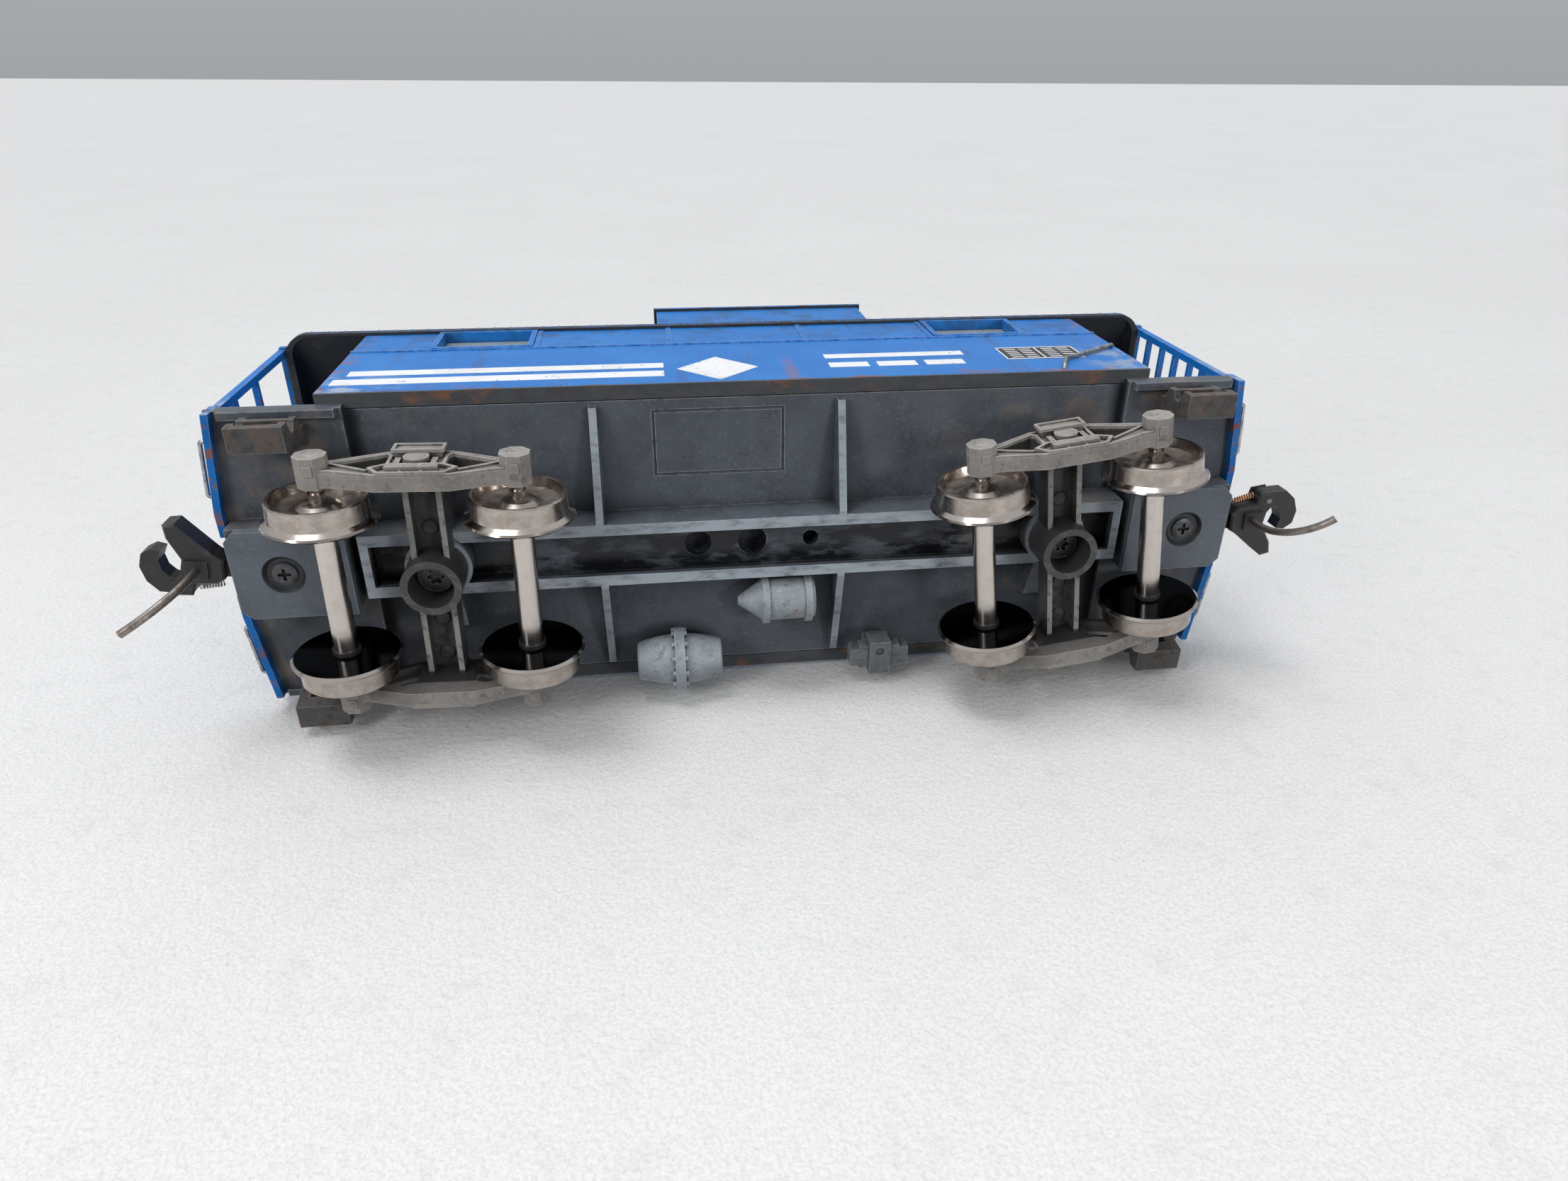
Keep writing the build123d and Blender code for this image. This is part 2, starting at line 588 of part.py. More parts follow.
def truck_frame():
    with BuildPart() as frame:
        # bolster: a channel with its two flanges pointing down, and a deep screw hub
        with Locations((0, 0, 8.3)):
            Box(2 * bolster_half_width, 2 * frame_inner + 0.6, bolster_top - 8.3, align=standing)
        with Locations(*[(x, 0, 6.6) for x in (-bolster_half_width + 0.28, bolster_half_width - 0.28)]):
            Box(0.56, 2 * frame_inner + 0.6, 1.8, align=standing)
        with Locations((0, 0, 4.75)):
            Cylinder(3.0, bolster_top - 4.75, align=standing)
        with Locations((0, 0, 4.65)):
            Cylinder(2.25, hub_floor - 4.65, align=standing, mode=Mode.SUBTRACT)
            Cylinder(1.0, 8, align=standing, mode=Mode.SUBTRACT)
        for side in (-1, 1):
            # side frame: a flat truss with an opening each side of the spring seat
            with BuildSketch(Plane.XZ.offset(-side * frame_inner)):
                with BuildLine():
                    Polyline((-9.4, 4.3), (-7.6, 4.2), (-3.4, 2.9), (3.4, 2.9), (7.6, 4.2), (9.4, 4.3),
                             (9.4, 6.7), (7.8, 7.2), (3.0, 9.3), (-3.0, 9.3), (-7.8, 7.2), (-9.4, 6.7),
                             close=True)
                make_face()
                for hand in (-1, 1):
                    with BuildLine():
                        Polyline((hand * 7.9, 6.3), (hand * 3.1, 8.5), (hand * 2.75, 8.2), (hand * 2.75, 5.7),
                                 (hand * 3.3, 4.9), (hand * 4.3, 4.5), close=True)
                    make_face(mode=Mode.SUBTRACT)
            extrude(amount=-side * (frame_outer - frame_inner))
            # spring seat and bolster end
            with Locations((0, side * (frame_outer + 0.3), 8.4)):
                Box(4.4, 1.0, 1.5)
            with Locations((0, side * (frame_outer + 0.3), 4.0)):
                Box(4.8, 0.9, 0.9)
            with Locations(*[(x, side * (frame_outer + 0.1), 5.6) for x in (-1.7, 0, 1.7)]):
                Box(0.5, 0.6, 2.8)
            with Locations(Location((0, side * (frame_outer + 0.25), 6.6), (90, 0, 0))):
                Cylinder(1.2, 0.9)
            # journal boxes, faceted blocks that carry the axle ends
            with BuildSketch(Plane.XZ.offset(-side * journal_inner)):
                with Locations((-wheelbase / 2, axle_height), (wheelbase / 2, axle_height)):
                    RegularPolygon(journal_radius, 8, rotation=22.5)
            extrude(amount=-side * (journal_outer - journal_inner))
        with Locations(*[Location((x, 0, axle_height), (90, 0, 0)) for x in (-wheelbase / 2, wheelbase / 2)]):
            Cylinder(journal_hole_radius, 2 * (stub_tip + 0.25), mode=Mode.SUBTRACT)
    return frame.part


for name in ("a", "b"):
    write(truck_frame().moved(truck_place(name)), f"truck_frame_{name}")

# --- wheelsets: a steel axle, two wheels and an insulating bush ---------------------------
hub_bore = 0.8


def wheel(side):
    """A turned wheel with its flange on the inside, a dished outer face and a hub."""
    inner = wheel_inner_face
    outer = wheel_outer_face
    with BuildPart() as turned:
        with BuildSketch(Plane.YZ):
            with BuildLine():
                Polyline((side * inner, hub_bore), (side * inner, flange_radius - 0.35),
                         (side * (inner + 0.28), flange_radius), (side * (inner + 0.5), flange_radius - 0.1),
                         (side * (inner + 0.85), tread_radius + 0.05),
                         (side * (outer - 0.15), tread_radius - 0.05),
                         (side * outer, tread_radius - 0.2), (side * outer, 4.3),
                         (side * (outer - 1.0), 4.05), (side * (outer - 1.1), 2.1),
                         (side * (outer - 0.7), 1.6), (side * (outer - 0.5), hub_bore), close=True)
            make_face()
        revolve(axis=Axis((0, 0, 0), (0, 1, 0)))
    return turned.part


def axle():
    with BuildPart() as shaft:
        with BuildSketch(Plane.YZ):
            with BuildLine():
                Polyline((-stub_tip, 0), (-12.3, stub_radius), (-wheel_outer_face - 0.3, stub_radius),
                         (-wheel_outer_face - 0.3, hub_bore), (-wheel_inner_face, hub_bore),
                         (-wheel_inner_face, axle_radius), (wheel_inner_face - 0.45, axle_radius),
                         (wheel_inner_face - 0.45, hub_bore), (wheel_outer_face + 0.3, hub_bore),
                         (wheel_outer_face + 0.3, stub_radius), (12.3, stub_radius), (stub_tip, 0),
                         close=True)
            make_face()
        revolve(axis=Axis((0, 0, 0), (0, 1, 0)))
    return shaft.part


def bush():
    with BuildPart() as ring:
        with Locations(Location((0, wheel_inner_face - 0.225, 0), (90, 0, 0))):
            Cylinder(axle_radius + 0.2, 0.45)
            Cylinder(hub_bore, 1, mode=Mode.SUBTRACT)
    return ring.part


for name in ("a", "b"):
    for number, hand in ((1, -1), (2, 1)):
        place = truck_place(name) * Location((hand * wheelbase / 2, 0, axle_height))
        write(axle().moved(place), f"axle_{name}{number}")
        write(wheel(-1).moved(place), f"wheel_near_{name}{number}")
        write(wheel(1).moved(place), f"wheel_far_{name}{number}")
        write(bush().moved(place), f"axle_bush_{name}{number}")

# --- couplers, drawn for a pivot at the origin with the car behind them (-X) --------------
head_bottom = 9.5
head_top = 12.1
knuckle_pivot = (9.9, -2.2)
knuckle_bottom = 9.9
knuckle_top = 11.7


def coupler_place(end):
    return end_place(end) * Location((coupler_pivot, 0, 0), (0, 0, coupler_turn[end]))


def coupler_head():
    with BuildPart() as head:
        with BuildSketch(Plane.XY.offset(coupler_height - 0.475)):
            Circle(1.7)
            with BuildLine():
                Polyline((0, -1.0), (7.0, -1.0), (7.0, 1.0), (0, 1.0), close=True)
            make_face()
            Circle(1.03, mode=Mode.SUBTRACT)
        extrude(amount=0.95)
        with BuildSketch(Plane.XY.offset(head_bottom)):
            with BuildLine():
                Polyline((5.7, -1.0), (6.5, -1.6), (8.5, -1.8), (8.9, -3.1), (10.6, -3.2), (10.9, -1.8),
                         (9.9, -0.7), (9.6, 0.9), (10.8, 3.2), (11.0, 4.6), (9.9, 4.8), (6.7, 1.7),
                         (5.7, 1.0), close=True)
            make_face()
        extrude(amount=head_top - head_bottom)
        chamfer(head.faces().sort_by(Axis.Z)[0].edges(), 0.2)
        chamfer(head.faces().sort_by(Axis.Z)[-1].edges(), 0.2)
        with Locations((10.1, -2.2, (knuckle_bottom + knuckle_top) / 2)):
            Box(2.6, 2.2, knuckle_top - knuckle_bottom + 0.1, mode=Mode.SUBTRACT)
        with Locations((*knuckle_pivot, head_bottom - 1)):
            Cylinder(0.3, 5, align=standing, mode=Mode.SUBTRACT)
        # boss and bore for the trip pin
        with Locations((8.2, 0, head_bottom - 0.3)):
            Box(2.2, 2.0, 0.5, align=standing)
            Cylinder(0.4, 5, mode=Mode.SUBTRACT)
    return head.part


def knuckle():
    with BuildPart() as hook:
        with BuildSketch(Plane.XY.offset(knuckle_bottom)):
            with Locations(knuckle_pivot):
                Circle(0.85)
            with BuildLine():
                Polyline((9.9, -3.05), (12.1, -3.0), (13.2, -1.9), (13.7, -0.3), (13.4, 1.2), (12.4, 1.8),
                         (11.5, 1.6), (11.9, 0.5), (11.6, -0.6), (11.0, -1.2), (10.4, -1.5), close=True)
            make_face()
            with Locations(knuckle_pivot):
                Circle(0.36, mode=Mode.SUBTRACT)
        extrude(amount=knuckle_top - knuckle_bottom)
        fillet(hook.edges().filter_by(Axis.Z).sort_by(Axis.X)[-3:], 0.4)
    return hook.part


def knuckle_pin():
    with BuildPart() as pin:
        with Locations((*knuckle_pivot, head_bottom - 0.05)):
            Cylinder(0.3, head_top - head_bottom + 0.1, align=standing)
    return pin.part


def knuckle_spring():
    with BuildPart() as coil:
        start = Vector(6.3, -2.05, coupler_height)
        finish = Vector(8.6, -2.55, coupler_height)
        with BuildSketch(Plane(start, z_dir=finish - start)):
            Circle(0.42)
            Circle(0.2, mode=Mode.SUBTRACT)
        extrude(amount=(finish - start).length)
    return coil.part


def trip_pin():
    with BuildPart() as pin:
        with BuildLine() as route:
            drop = Line((8.2, 0, head_bottom + 2.2), (8.2, 0, 8.3))
            TangentArc((8.2, 0, 8.3), (12.5, -3.2, 1.5), tangent=(0, 0, -1))
        with BuildSketch(Plane(drop @ 0, z_dir=drop % 0)):
            Circle(0.4)
        sweep()
    return pin.part


def whisker_spring():
    with BuildPart() as leaf:
        with BuildSketch(Plane.XY.offset(coupler_height + 0.475)):
            Circle(1.6)
            for hand in (-1, 1):
                with BuildLine():
                    Polyline((-0.2, hand * 1.2), (0.4, hand * 1.6), (3.0, hand * 2.3), (3.0, hand * 2.05),
                             (0.6, hand * 1.1), close=True)
                make_face()
            Circle(1.05, mode=Mode.SUBTRACT)
        extrude(amount=0.15)
    return leaf.part


for end in ("a", "b"):
    write(coupler_head().moved(coupler_place(end)), f"coupler_head_{end}")
    write(knuckle().moved(coupler_place(end)), f"knuckle_{end}")
    write(knuckle_pin().moved(coupler_place(end)), f"knuckle_pin_{end}")
    write(knuckle_spring().moved(coupler_place(end)), f"knuckle_spring_{end}")
    write(trip_pin().moved(coupler_place(end)), f"trip_pin_{end}")
    write(whisker_spring().moved(coupler_place(end)), f"centring_spring_{end}")
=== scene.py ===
import json
import math

import bmesh
import bpy
from mathutils import Matrix, Vector


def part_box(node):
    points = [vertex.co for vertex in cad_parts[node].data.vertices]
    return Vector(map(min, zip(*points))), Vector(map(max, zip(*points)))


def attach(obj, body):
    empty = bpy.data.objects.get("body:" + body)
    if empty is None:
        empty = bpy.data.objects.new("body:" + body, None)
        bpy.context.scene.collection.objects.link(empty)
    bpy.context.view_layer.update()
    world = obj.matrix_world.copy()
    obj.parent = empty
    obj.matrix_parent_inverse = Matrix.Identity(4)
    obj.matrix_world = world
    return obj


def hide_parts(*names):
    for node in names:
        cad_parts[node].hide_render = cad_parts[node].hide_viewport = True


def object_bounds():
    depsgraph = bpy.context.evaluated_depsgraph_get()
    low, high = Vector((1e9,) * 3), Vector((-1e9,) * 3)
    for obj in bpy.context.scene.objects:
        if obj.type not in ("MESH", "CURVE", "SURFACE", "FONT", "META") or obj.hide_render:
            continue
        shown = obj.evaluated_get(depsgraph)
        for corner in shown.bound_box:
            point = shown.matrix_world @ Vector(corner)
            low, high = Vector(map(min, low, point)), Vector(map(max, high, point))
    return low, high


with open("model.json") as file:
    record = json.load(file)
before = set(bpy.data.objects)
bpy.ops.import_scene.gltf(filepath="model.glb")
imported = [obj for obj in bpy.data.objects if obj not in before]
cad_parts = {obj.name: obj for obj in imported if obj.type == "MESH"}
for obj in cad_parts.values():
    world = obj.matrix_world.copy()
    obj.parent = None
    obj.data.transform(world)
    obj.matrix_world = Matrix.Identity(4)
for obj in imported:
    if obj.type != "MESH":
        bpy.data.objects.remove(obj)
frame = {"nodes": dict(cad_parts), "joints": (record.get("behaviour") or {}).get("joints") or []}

# Looks for an HO scale caboose. Shapes are drawn in millimetres in the CAD model's frame
# (+X along the car, +Z up, z = 0 under the wheel flanges) and turned into metres by piece().
MM = 0.001
cad_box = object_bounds()
joints = {joint["name"]: joint for joint in frame["joints"]}


def box_mm(node):
    """A CAD node's lowest and highest corners at rest."""
    low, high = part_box(node)
    return low / MM, high / MM


def joint_mm(name):
    """Where a joint is."""
    return Vector(joints[name]["pos_m"]) / MM


# --- places taken from the frame -------------------------------------------------------
shell_low, shell_high = box_mm("body_shell")
roof_low, roof_high = box_mm("roof")
cupola_low, cupola_high = box_mm("cupola")
HALF_LENGTH = shell_high.x
SILL = shell_low.z
EAVE_HALF_WIDTH = roof_high.y
ROOF_CROWN = roof_high.z
LID_SCREW_X = joint_mm("coupler_b_swing").x
ENDS = ("a", "b")

# --- places inside the parts' boxes ----------------------------------------------------
SIDE = 17.4                             # outer face of a side wall
RAILING_START = 44.2                    # past the ends of the shell, short of the end railings
BELT = 29.9                             # middle of the belt rail
EAVE = 38.6                             # top of a side wall
WINDOW_X = 29.4
WINDOW_HALF = 5.1
FLANGE_HEIGHT = 11.6                    # the centre sill's flanges are lower than this
CHANNEL_HALF = 2.7                      # half the width of the channel between them
CHANNEL_FOOT = 10.9
FRAME_FACE = 12.7                       # outer face of a truck's side frame
BOLSTER_END = 10.95                     # inner face of a truck's side frame
BOLSTER_UNDERSIDE = 8.3
JOURNAL_X = 9.3
JOURNAL_FACE = 14.1
AXLE_HEIGHT = 5.45
WHEEL_INNER_FACE = 7.25
LID_SCREW_FACE = 9.65
KNUCKLE_PIVOT = Vector((9.9, -2.2))     # from a coupler's own pivot
ROOF_RISE = ROOF_CROWN - EAVE
ROOF_RADIUS = (EAVE_HALF_WIDTH**2 + ROOF_RISE**2) / (2 * ROOF_RISE)


def truck_matrix(end):
    """The place of a truck: its pivot, turned as its axles are."""
    axis = joints[f"wheelset_{end}1_spin"]["axis"]
    pivot = joint_mm(f"truck_{end}_swivel")
    turn = Matrix.Rotation(math.atan2(-axis[0], axis[1]), 4, "Z")
    return Matrix.Translation((pivot.x, pivot.y, 0)) @ turn


def coupler_matrix(end):
    """The place of a coupler: its pivot at the origin, pointing along +X before it is turned."""
    pivot = joint_mm(f"coupler_{end}_swing")
    arm = joint_mm(f"knuckle_{end}_open") - pivot
    turn = math.atan2(arm.y, arm.x) - math.atan2(KNUCKLE_PIVOT.y, KNUCKLE_PIVOT.x)
    return Matrix.Translation((pivot.x, pivot.y, 0)) @ Matrix.Rotation(turn, 4, "Z")


# --- drawing in bmesh, in millimetres ----------------------------------------------------
def smooth(mesh, sharp_angle):
    """Shade a mesh smooth, but not across edges sharper than an angle in degrees."""
    mesh.shade_smooth()
    mesh.set_sharp_from_angle(angle=math.radians(sharp_angle))


def piece(name, bm, body, material, place=None, sharp_angle=35):
    """Turn a drawing into a piece that rides on a body."""
    if place is not None:
        bmesh.ops.transform(bm, matrix=place, verts=bm.verts)
    bmesh.ops.scale(bm, vec=(MM, MM, MM), verts=bm.verts)
    bmesh.ops.recalc_face_normals(bm, faces=bm.faces)
    mesh = bpy.data.meshes.new(name)
    bm.to_mesh(mesh)
    bm.free()
    mesh.materials.append(material)
    smooth(mesh, sharp_angle)
    made = bpy.data.objects.new(name, mesh)
    bpy.context.scene.collection.objects.link(made)
    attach(made, body)
    return made


def block(bm, low, high, bevel=0.0):
    """A box between two corners, its edges chamfered."""
    low, high = Vector(low), Vector(high)
    made = bmesh.ops.create_cube(bm, size=1)["verts"]
    bmesh.ops.scale(bm, vec=high - low, verts=made)
    bmesh.ops.translate(bm, vec=(low + high) / 2, verts=made)
    if bevel:
        edges = list(dict.fromkeys(edge for vert in made for edge in vert.link_edges))
        bmesh.ops.bevel(bm, geom=edges, offset=bevel, segments=2, affect="EDGES")


def spin_profile(bm, profile, centre, direction, segments):
    """Turn a profile of (distance along, radius) pairs about a line."""
    rings = []
    turn = Vector(direction).to_track_quat("Z", "Y").to_matrix()
    for along, radius in profile:
        ring = []
        for k in range(segments):
            angle = 2 * math.pi * k / segments
            point = Vector((radius * math.cos(angle), radius * math.sin(angle), along))
            ring.append(bm.verts.new(Vector(centre) + turn @ point))
        rings.append(ring)
    for first, second in zip(rings, rings[1:]):
        for k in range(segments):
            n = (k + 1) % segments
            bm.faces.new((first[k], first[n], second[n], second[k]))
    bm.faces.new(list(reversed(rings[0])))
    bm.faces.new(rings[-1])


def rivet(bm, centre, direction, radius=0.15, height=0.1, segments=8):
    """A domed rivet head standing on a surface, with its foot sunk in it."""
    profile = [(-0.05, radius), (0, radius), (0.6 * height, 0.75 * radius), (height, 0.3 * radius)]
    spin_profile(bm, profile, centre, direction, segments)


def rod(bm, points, radius, segments):
    """A round wire through points, mitred at its corners."""
    rings = []
    side = None
    for k, point in enumerate(points):
        before = points[max(k - 1, 0)]
        after = points[min(k + 1, len(points) - 1)]
        along = (after - before).normalized()
        if side is None:
            side = along.orthogonal().normalized()
        side = (side - along * side.dot(along)).normalized()
        up = along.cross(side)
        ring = []
        for s in range(segments):
            angle = 2 * math.pi * s / segments
            ring.append(bm.verts.new(point + radius * (side * math.cos(angle) + up * math.sin(angle))))
        rings.append(ring)
    for first, second in zip(rings, rings[1:]):
        for s in range(segments):
            n = (s + 1) % segments
            bm.faces.new((first[s], first[n], second[n], second[s]))
    bm.faces.new(list(reversed(rings[0])))
    bm.faces.new(rings[-1])


def rim(bm, outline, y, side, width, height):
    """A raised rim round an outline of (x, z) corners on a face that looks along Y."""
    sunk = -0.1
    middle = sum((Vector(corner) for corner in outline), Vector((0, 0))) / len(outline)
    loops = []
    for grow, lift in ((width / 2, sunk), (width / 2, height), (-width / 2, height), (-width / 2, sunk)):
        loop = []
        for k, corner in enumerate(outline):
            here = Vector(corner)
            back = (here - Vector(outline[k - 1])).normalized()
            ahead = (Vector(outline[(k + 1) % len(outline)]) - here).normalized()
            out = Vector((back.y + ahead.y, -back.x - ahead.x))
            out = out.normalized() / max(0.45, math.cos(back.angle(ahead) / 2))
            if out.dot(here - middle) < 0:
                out = -out
            spot = here + out * grow
            loop.append(bm.verts.new((spot.x, y + side * lift, spot.y)))
        loops.append(loop)
    for k in range(4):
        first, second = loops[k], loops[(k + 1) % 4]
        for c in range(len(outline)):
            n = (c + 1) % len(outline)
            bm.faces.new((first[c], first[n], second[n], second[c]))


# --- materials ---------------------------------------------------------------------------
class Paint:
    """Builds one procedural material: masks are plain numbers at each point, worked in mm."""

    def __init__(self, name, colour, roughness, metallic=0.0, place=None):
        self.material = bpy.data.materials.new(name)
        self.material.use_nodes = True
        self.tree = self.material.node_tree
        self.shader = self.tree.nodes["Principled BSDF"]
        self.shader.inputs["Metallic"].default_value = metallic
        found = self.node("ShaderNodeTexCoord")
        scaled = self.node("ShaderNodeVectorMath", operation="SCALE")
        self.join(found.outputs["Object"], scaled.inputs[0])
        scaled.inputs["Scale"].default_value = 1 / MM
        self.point = scaled.outputs[0]
        self.facing = found.outputs["Normal"]
        if place is not None:
            self.point = self.local(self.point, place, place.translation)
            self.facing = self.local(self.facing, place, (0, 0, 0))
        self.x, self.y, self.z = self.split(self.point)
        self.nx, self.ny, self.nz = self.split(self.facing)
        self.colour = (*colour, 1)
        self.rough = roughness
        self.heights = []

    def node(self, kind, **settings):
        """A new shader node, with these properties set."""
        made = self.tree.nodes.new(kind)
        for key, value in settings.items():
            setattr(made, key, value)
        return made

    def join(self, value, socket):
        """Give a socket its value, which is another node's output or a plain number or colour."""
        if isinstance(value, bpy.types.NodeSocket):
            self.tree.links.new(value, socket)
        else:
            socket.default_value = value

    def local(self, vector, place, origin):
        """A point or direction seen from a truck's own place."""
        mapped = self.node("ShaderNodeMapping", vector_type="TEXTURE")
        self.join(vector, mapped.inputs["Vector"])
        mapped.inputs["Location"].default_value = origin
        mapped.inputs["Rotation"].default_value = place.to_euler()
        return mapped.outputs[0]

    def split(self, vector):
        """A vector's three parts."""
        made = self.node("ShaderNodeSeparateXYZ")
        self.join(vector, made.inputs[0])
        return made.outputs[:3]

    def math(self, operation, first, second=0.0):
        """The result of one sum."""
        made = self.node("ShaderNodeMath", operation=operation)
        self.join(first, made.inputs[0])
        self.join(second, made.inputs[1])
        return made.outputs[0]

    def step(self, value, low, high):
        """0 below low and 1 above high, or the other way round if low is over high."""
        made = self.node("ShaderNodeMapRange", interpolation_type="SMOOTHSTEP")
        self.join(value, made.inputs[0])
        flip = low > high
        made.inputs[1].default_value = min(low, high)
        made.inputs[2].default_value = max(low, high)
        made.inputs[3].default_value = 1.0 if flip else 0.0
        made.inputs[4].default_value = 0.0 if flip else 1.0
        return made.outputs[0]

    def all_of(self, *masks):
        """1 where every mask is 1."""
        result = masks[0]
        for mask in masks[1:]:
            result = self.math("MULTIPLY", result, mask)
        return result

    def any_of(self, *masks):
        """1 where at least one mask is 1."""
        result = masks[0]
        for mask in masks[1:]:
            result = self.math("MAXIMUM", result, mask)
        return result

    def noise(self, size, detail=4.0, stretch=(1, 1, 1), seed=0.0):
        """Cloudy noise whose blobs are about a size across, in mm."""
        mapped = self.node("ShaderNodeMapping")
        self.join(self.point, mapped.inputs["Vector"])
        mapped.inputs["Scale"].default_value = [1 / s for s in stretch]
        mapped.inputs["Location"].default_value = (seed, 2 * seed, -seed)
        made = self.node("ShaderNodeTexNoise")
        self.join(mapped.outputs[0], made.inputs["Vector"])
        made.inputs["Scale"].default_value = 1 / size
        made.inputs["Detail"].default_value = detail
        made.inputs["Roughness"].default_value = 0.62
        return made.outputs[0]

    def patches(self, size, low, high, seed=0.0, stretch=(1, 1, 1), detail=6):
        """Cloudy patches: 0 where the noise is under low, 1 where it is over high."""
        return self.step(self.noise(size, detail, stretch, seed), low, high)

    def size_of(self, value):
        """A value without its sign."""
        return self.math("ABSOLUTE", value)

    def edges(self, radius):
        """1 on corners that stand out or in, within a radius."""
        rounded = self.node("ShaderNodeBevel", samples=6)
        rounded.inputs["Radius"].default_value = radius * MM
        flat = self.node("ShaderNodeNewGeometry")
        dot = self.node("ShaderNodeVectorMath", operation="DOT_PRODUCT")
        self.join(rounded.outputs[0], dot.inputs[0])
        self.join(flat.outputs["Normal"], dot.inputs[1])
        return self.step(dot.outputs["Value"], 0.985, 0.86)

    def crevices(self, distance):
        """1 deep in corners and holes, 0 on open faces: where shade is painted."""
        made = self.node("ShaderNodeAmbientOcclusion", samples=6, only_local=False)
        made.inputs["Distance"].default_value = distance * MM
        return self.step(made.outputs["AO"], 0.75, 0.25)

    def from_line(self, x):
        """How far a point is from the nearer of the upright lines at x and -x, y = 0."""
        along = self.math("SUBTRACT", self.size_of(self.x), x)
        squares = [self.math("MULTIPLY", side, side) for side in (along, self.y)]
        return self.math("SQRT", self.math("ADD", *squares))

    def tint(self, mask, colour, amount=1.0):
        """Lay a colour over what is there, where the mask is 1."""
        mixed = self.node("ShaderNodeMix", data_type="RGBA")
        self.join(self.math("MULTIPLY", mask, amount), mixed.inputs[0])
        self.join(self.colour, mixed.inputs[6])
        self.join((*colour, 1), mixed.inputs[7])
        self.colour = mixed.outputs[2]

    def soften(self, mask, roughness, amount=1.0):
        """Give the masked part another roughness."""
        mixed = self.node("ShaderNodeMix", data_type="FLOAT")
        self.join(self.math("MULTIPLY", mask, amount), mixed.inputs[0])
        self.join(self.rough, mixed.inputs[2])
        mixed.inputs[3].default_value = roughness
        self.rough = mixed.outputs[0]

    def raise_by(self, height, depth):
        """Add to the bump: a field from 0 to 1, this many mm deep."""
        self.heights.append(self.math("MULTIPLY", height, depth))

    def done(self):
        """Wire everything to the shader and give back the material."""
        self.join(self.colour, self.shader.inputs["Base Color"])
        self.join(self.rough, self.shader.inputs["Roughness"])
        if self.heights:
            total = self.heights[0]
            for height in self.heights[1:]:
                total = self.math("ADD", total, height)
            bump = self.node("ShaderNodeBump")
            bump.inputs["Strength"].default_value = 1.0
            bump.inputs["Distance"].default_value = MM
            self.join(total, bump.inputs["Height"])
            self.join(bump.outputs[0], self.shader.inputs["Normal"])
        return self.material


BLUE = (0.004, 0.15, 0.5)
WORN_BLUE = (0.3, 0.44, 0.66)
RUST = (0.27, 0.1, 0.04)
# near black, for painted shade in corners and holes
PAINTED_SHADE = (0.012, 0.012, 0.014)


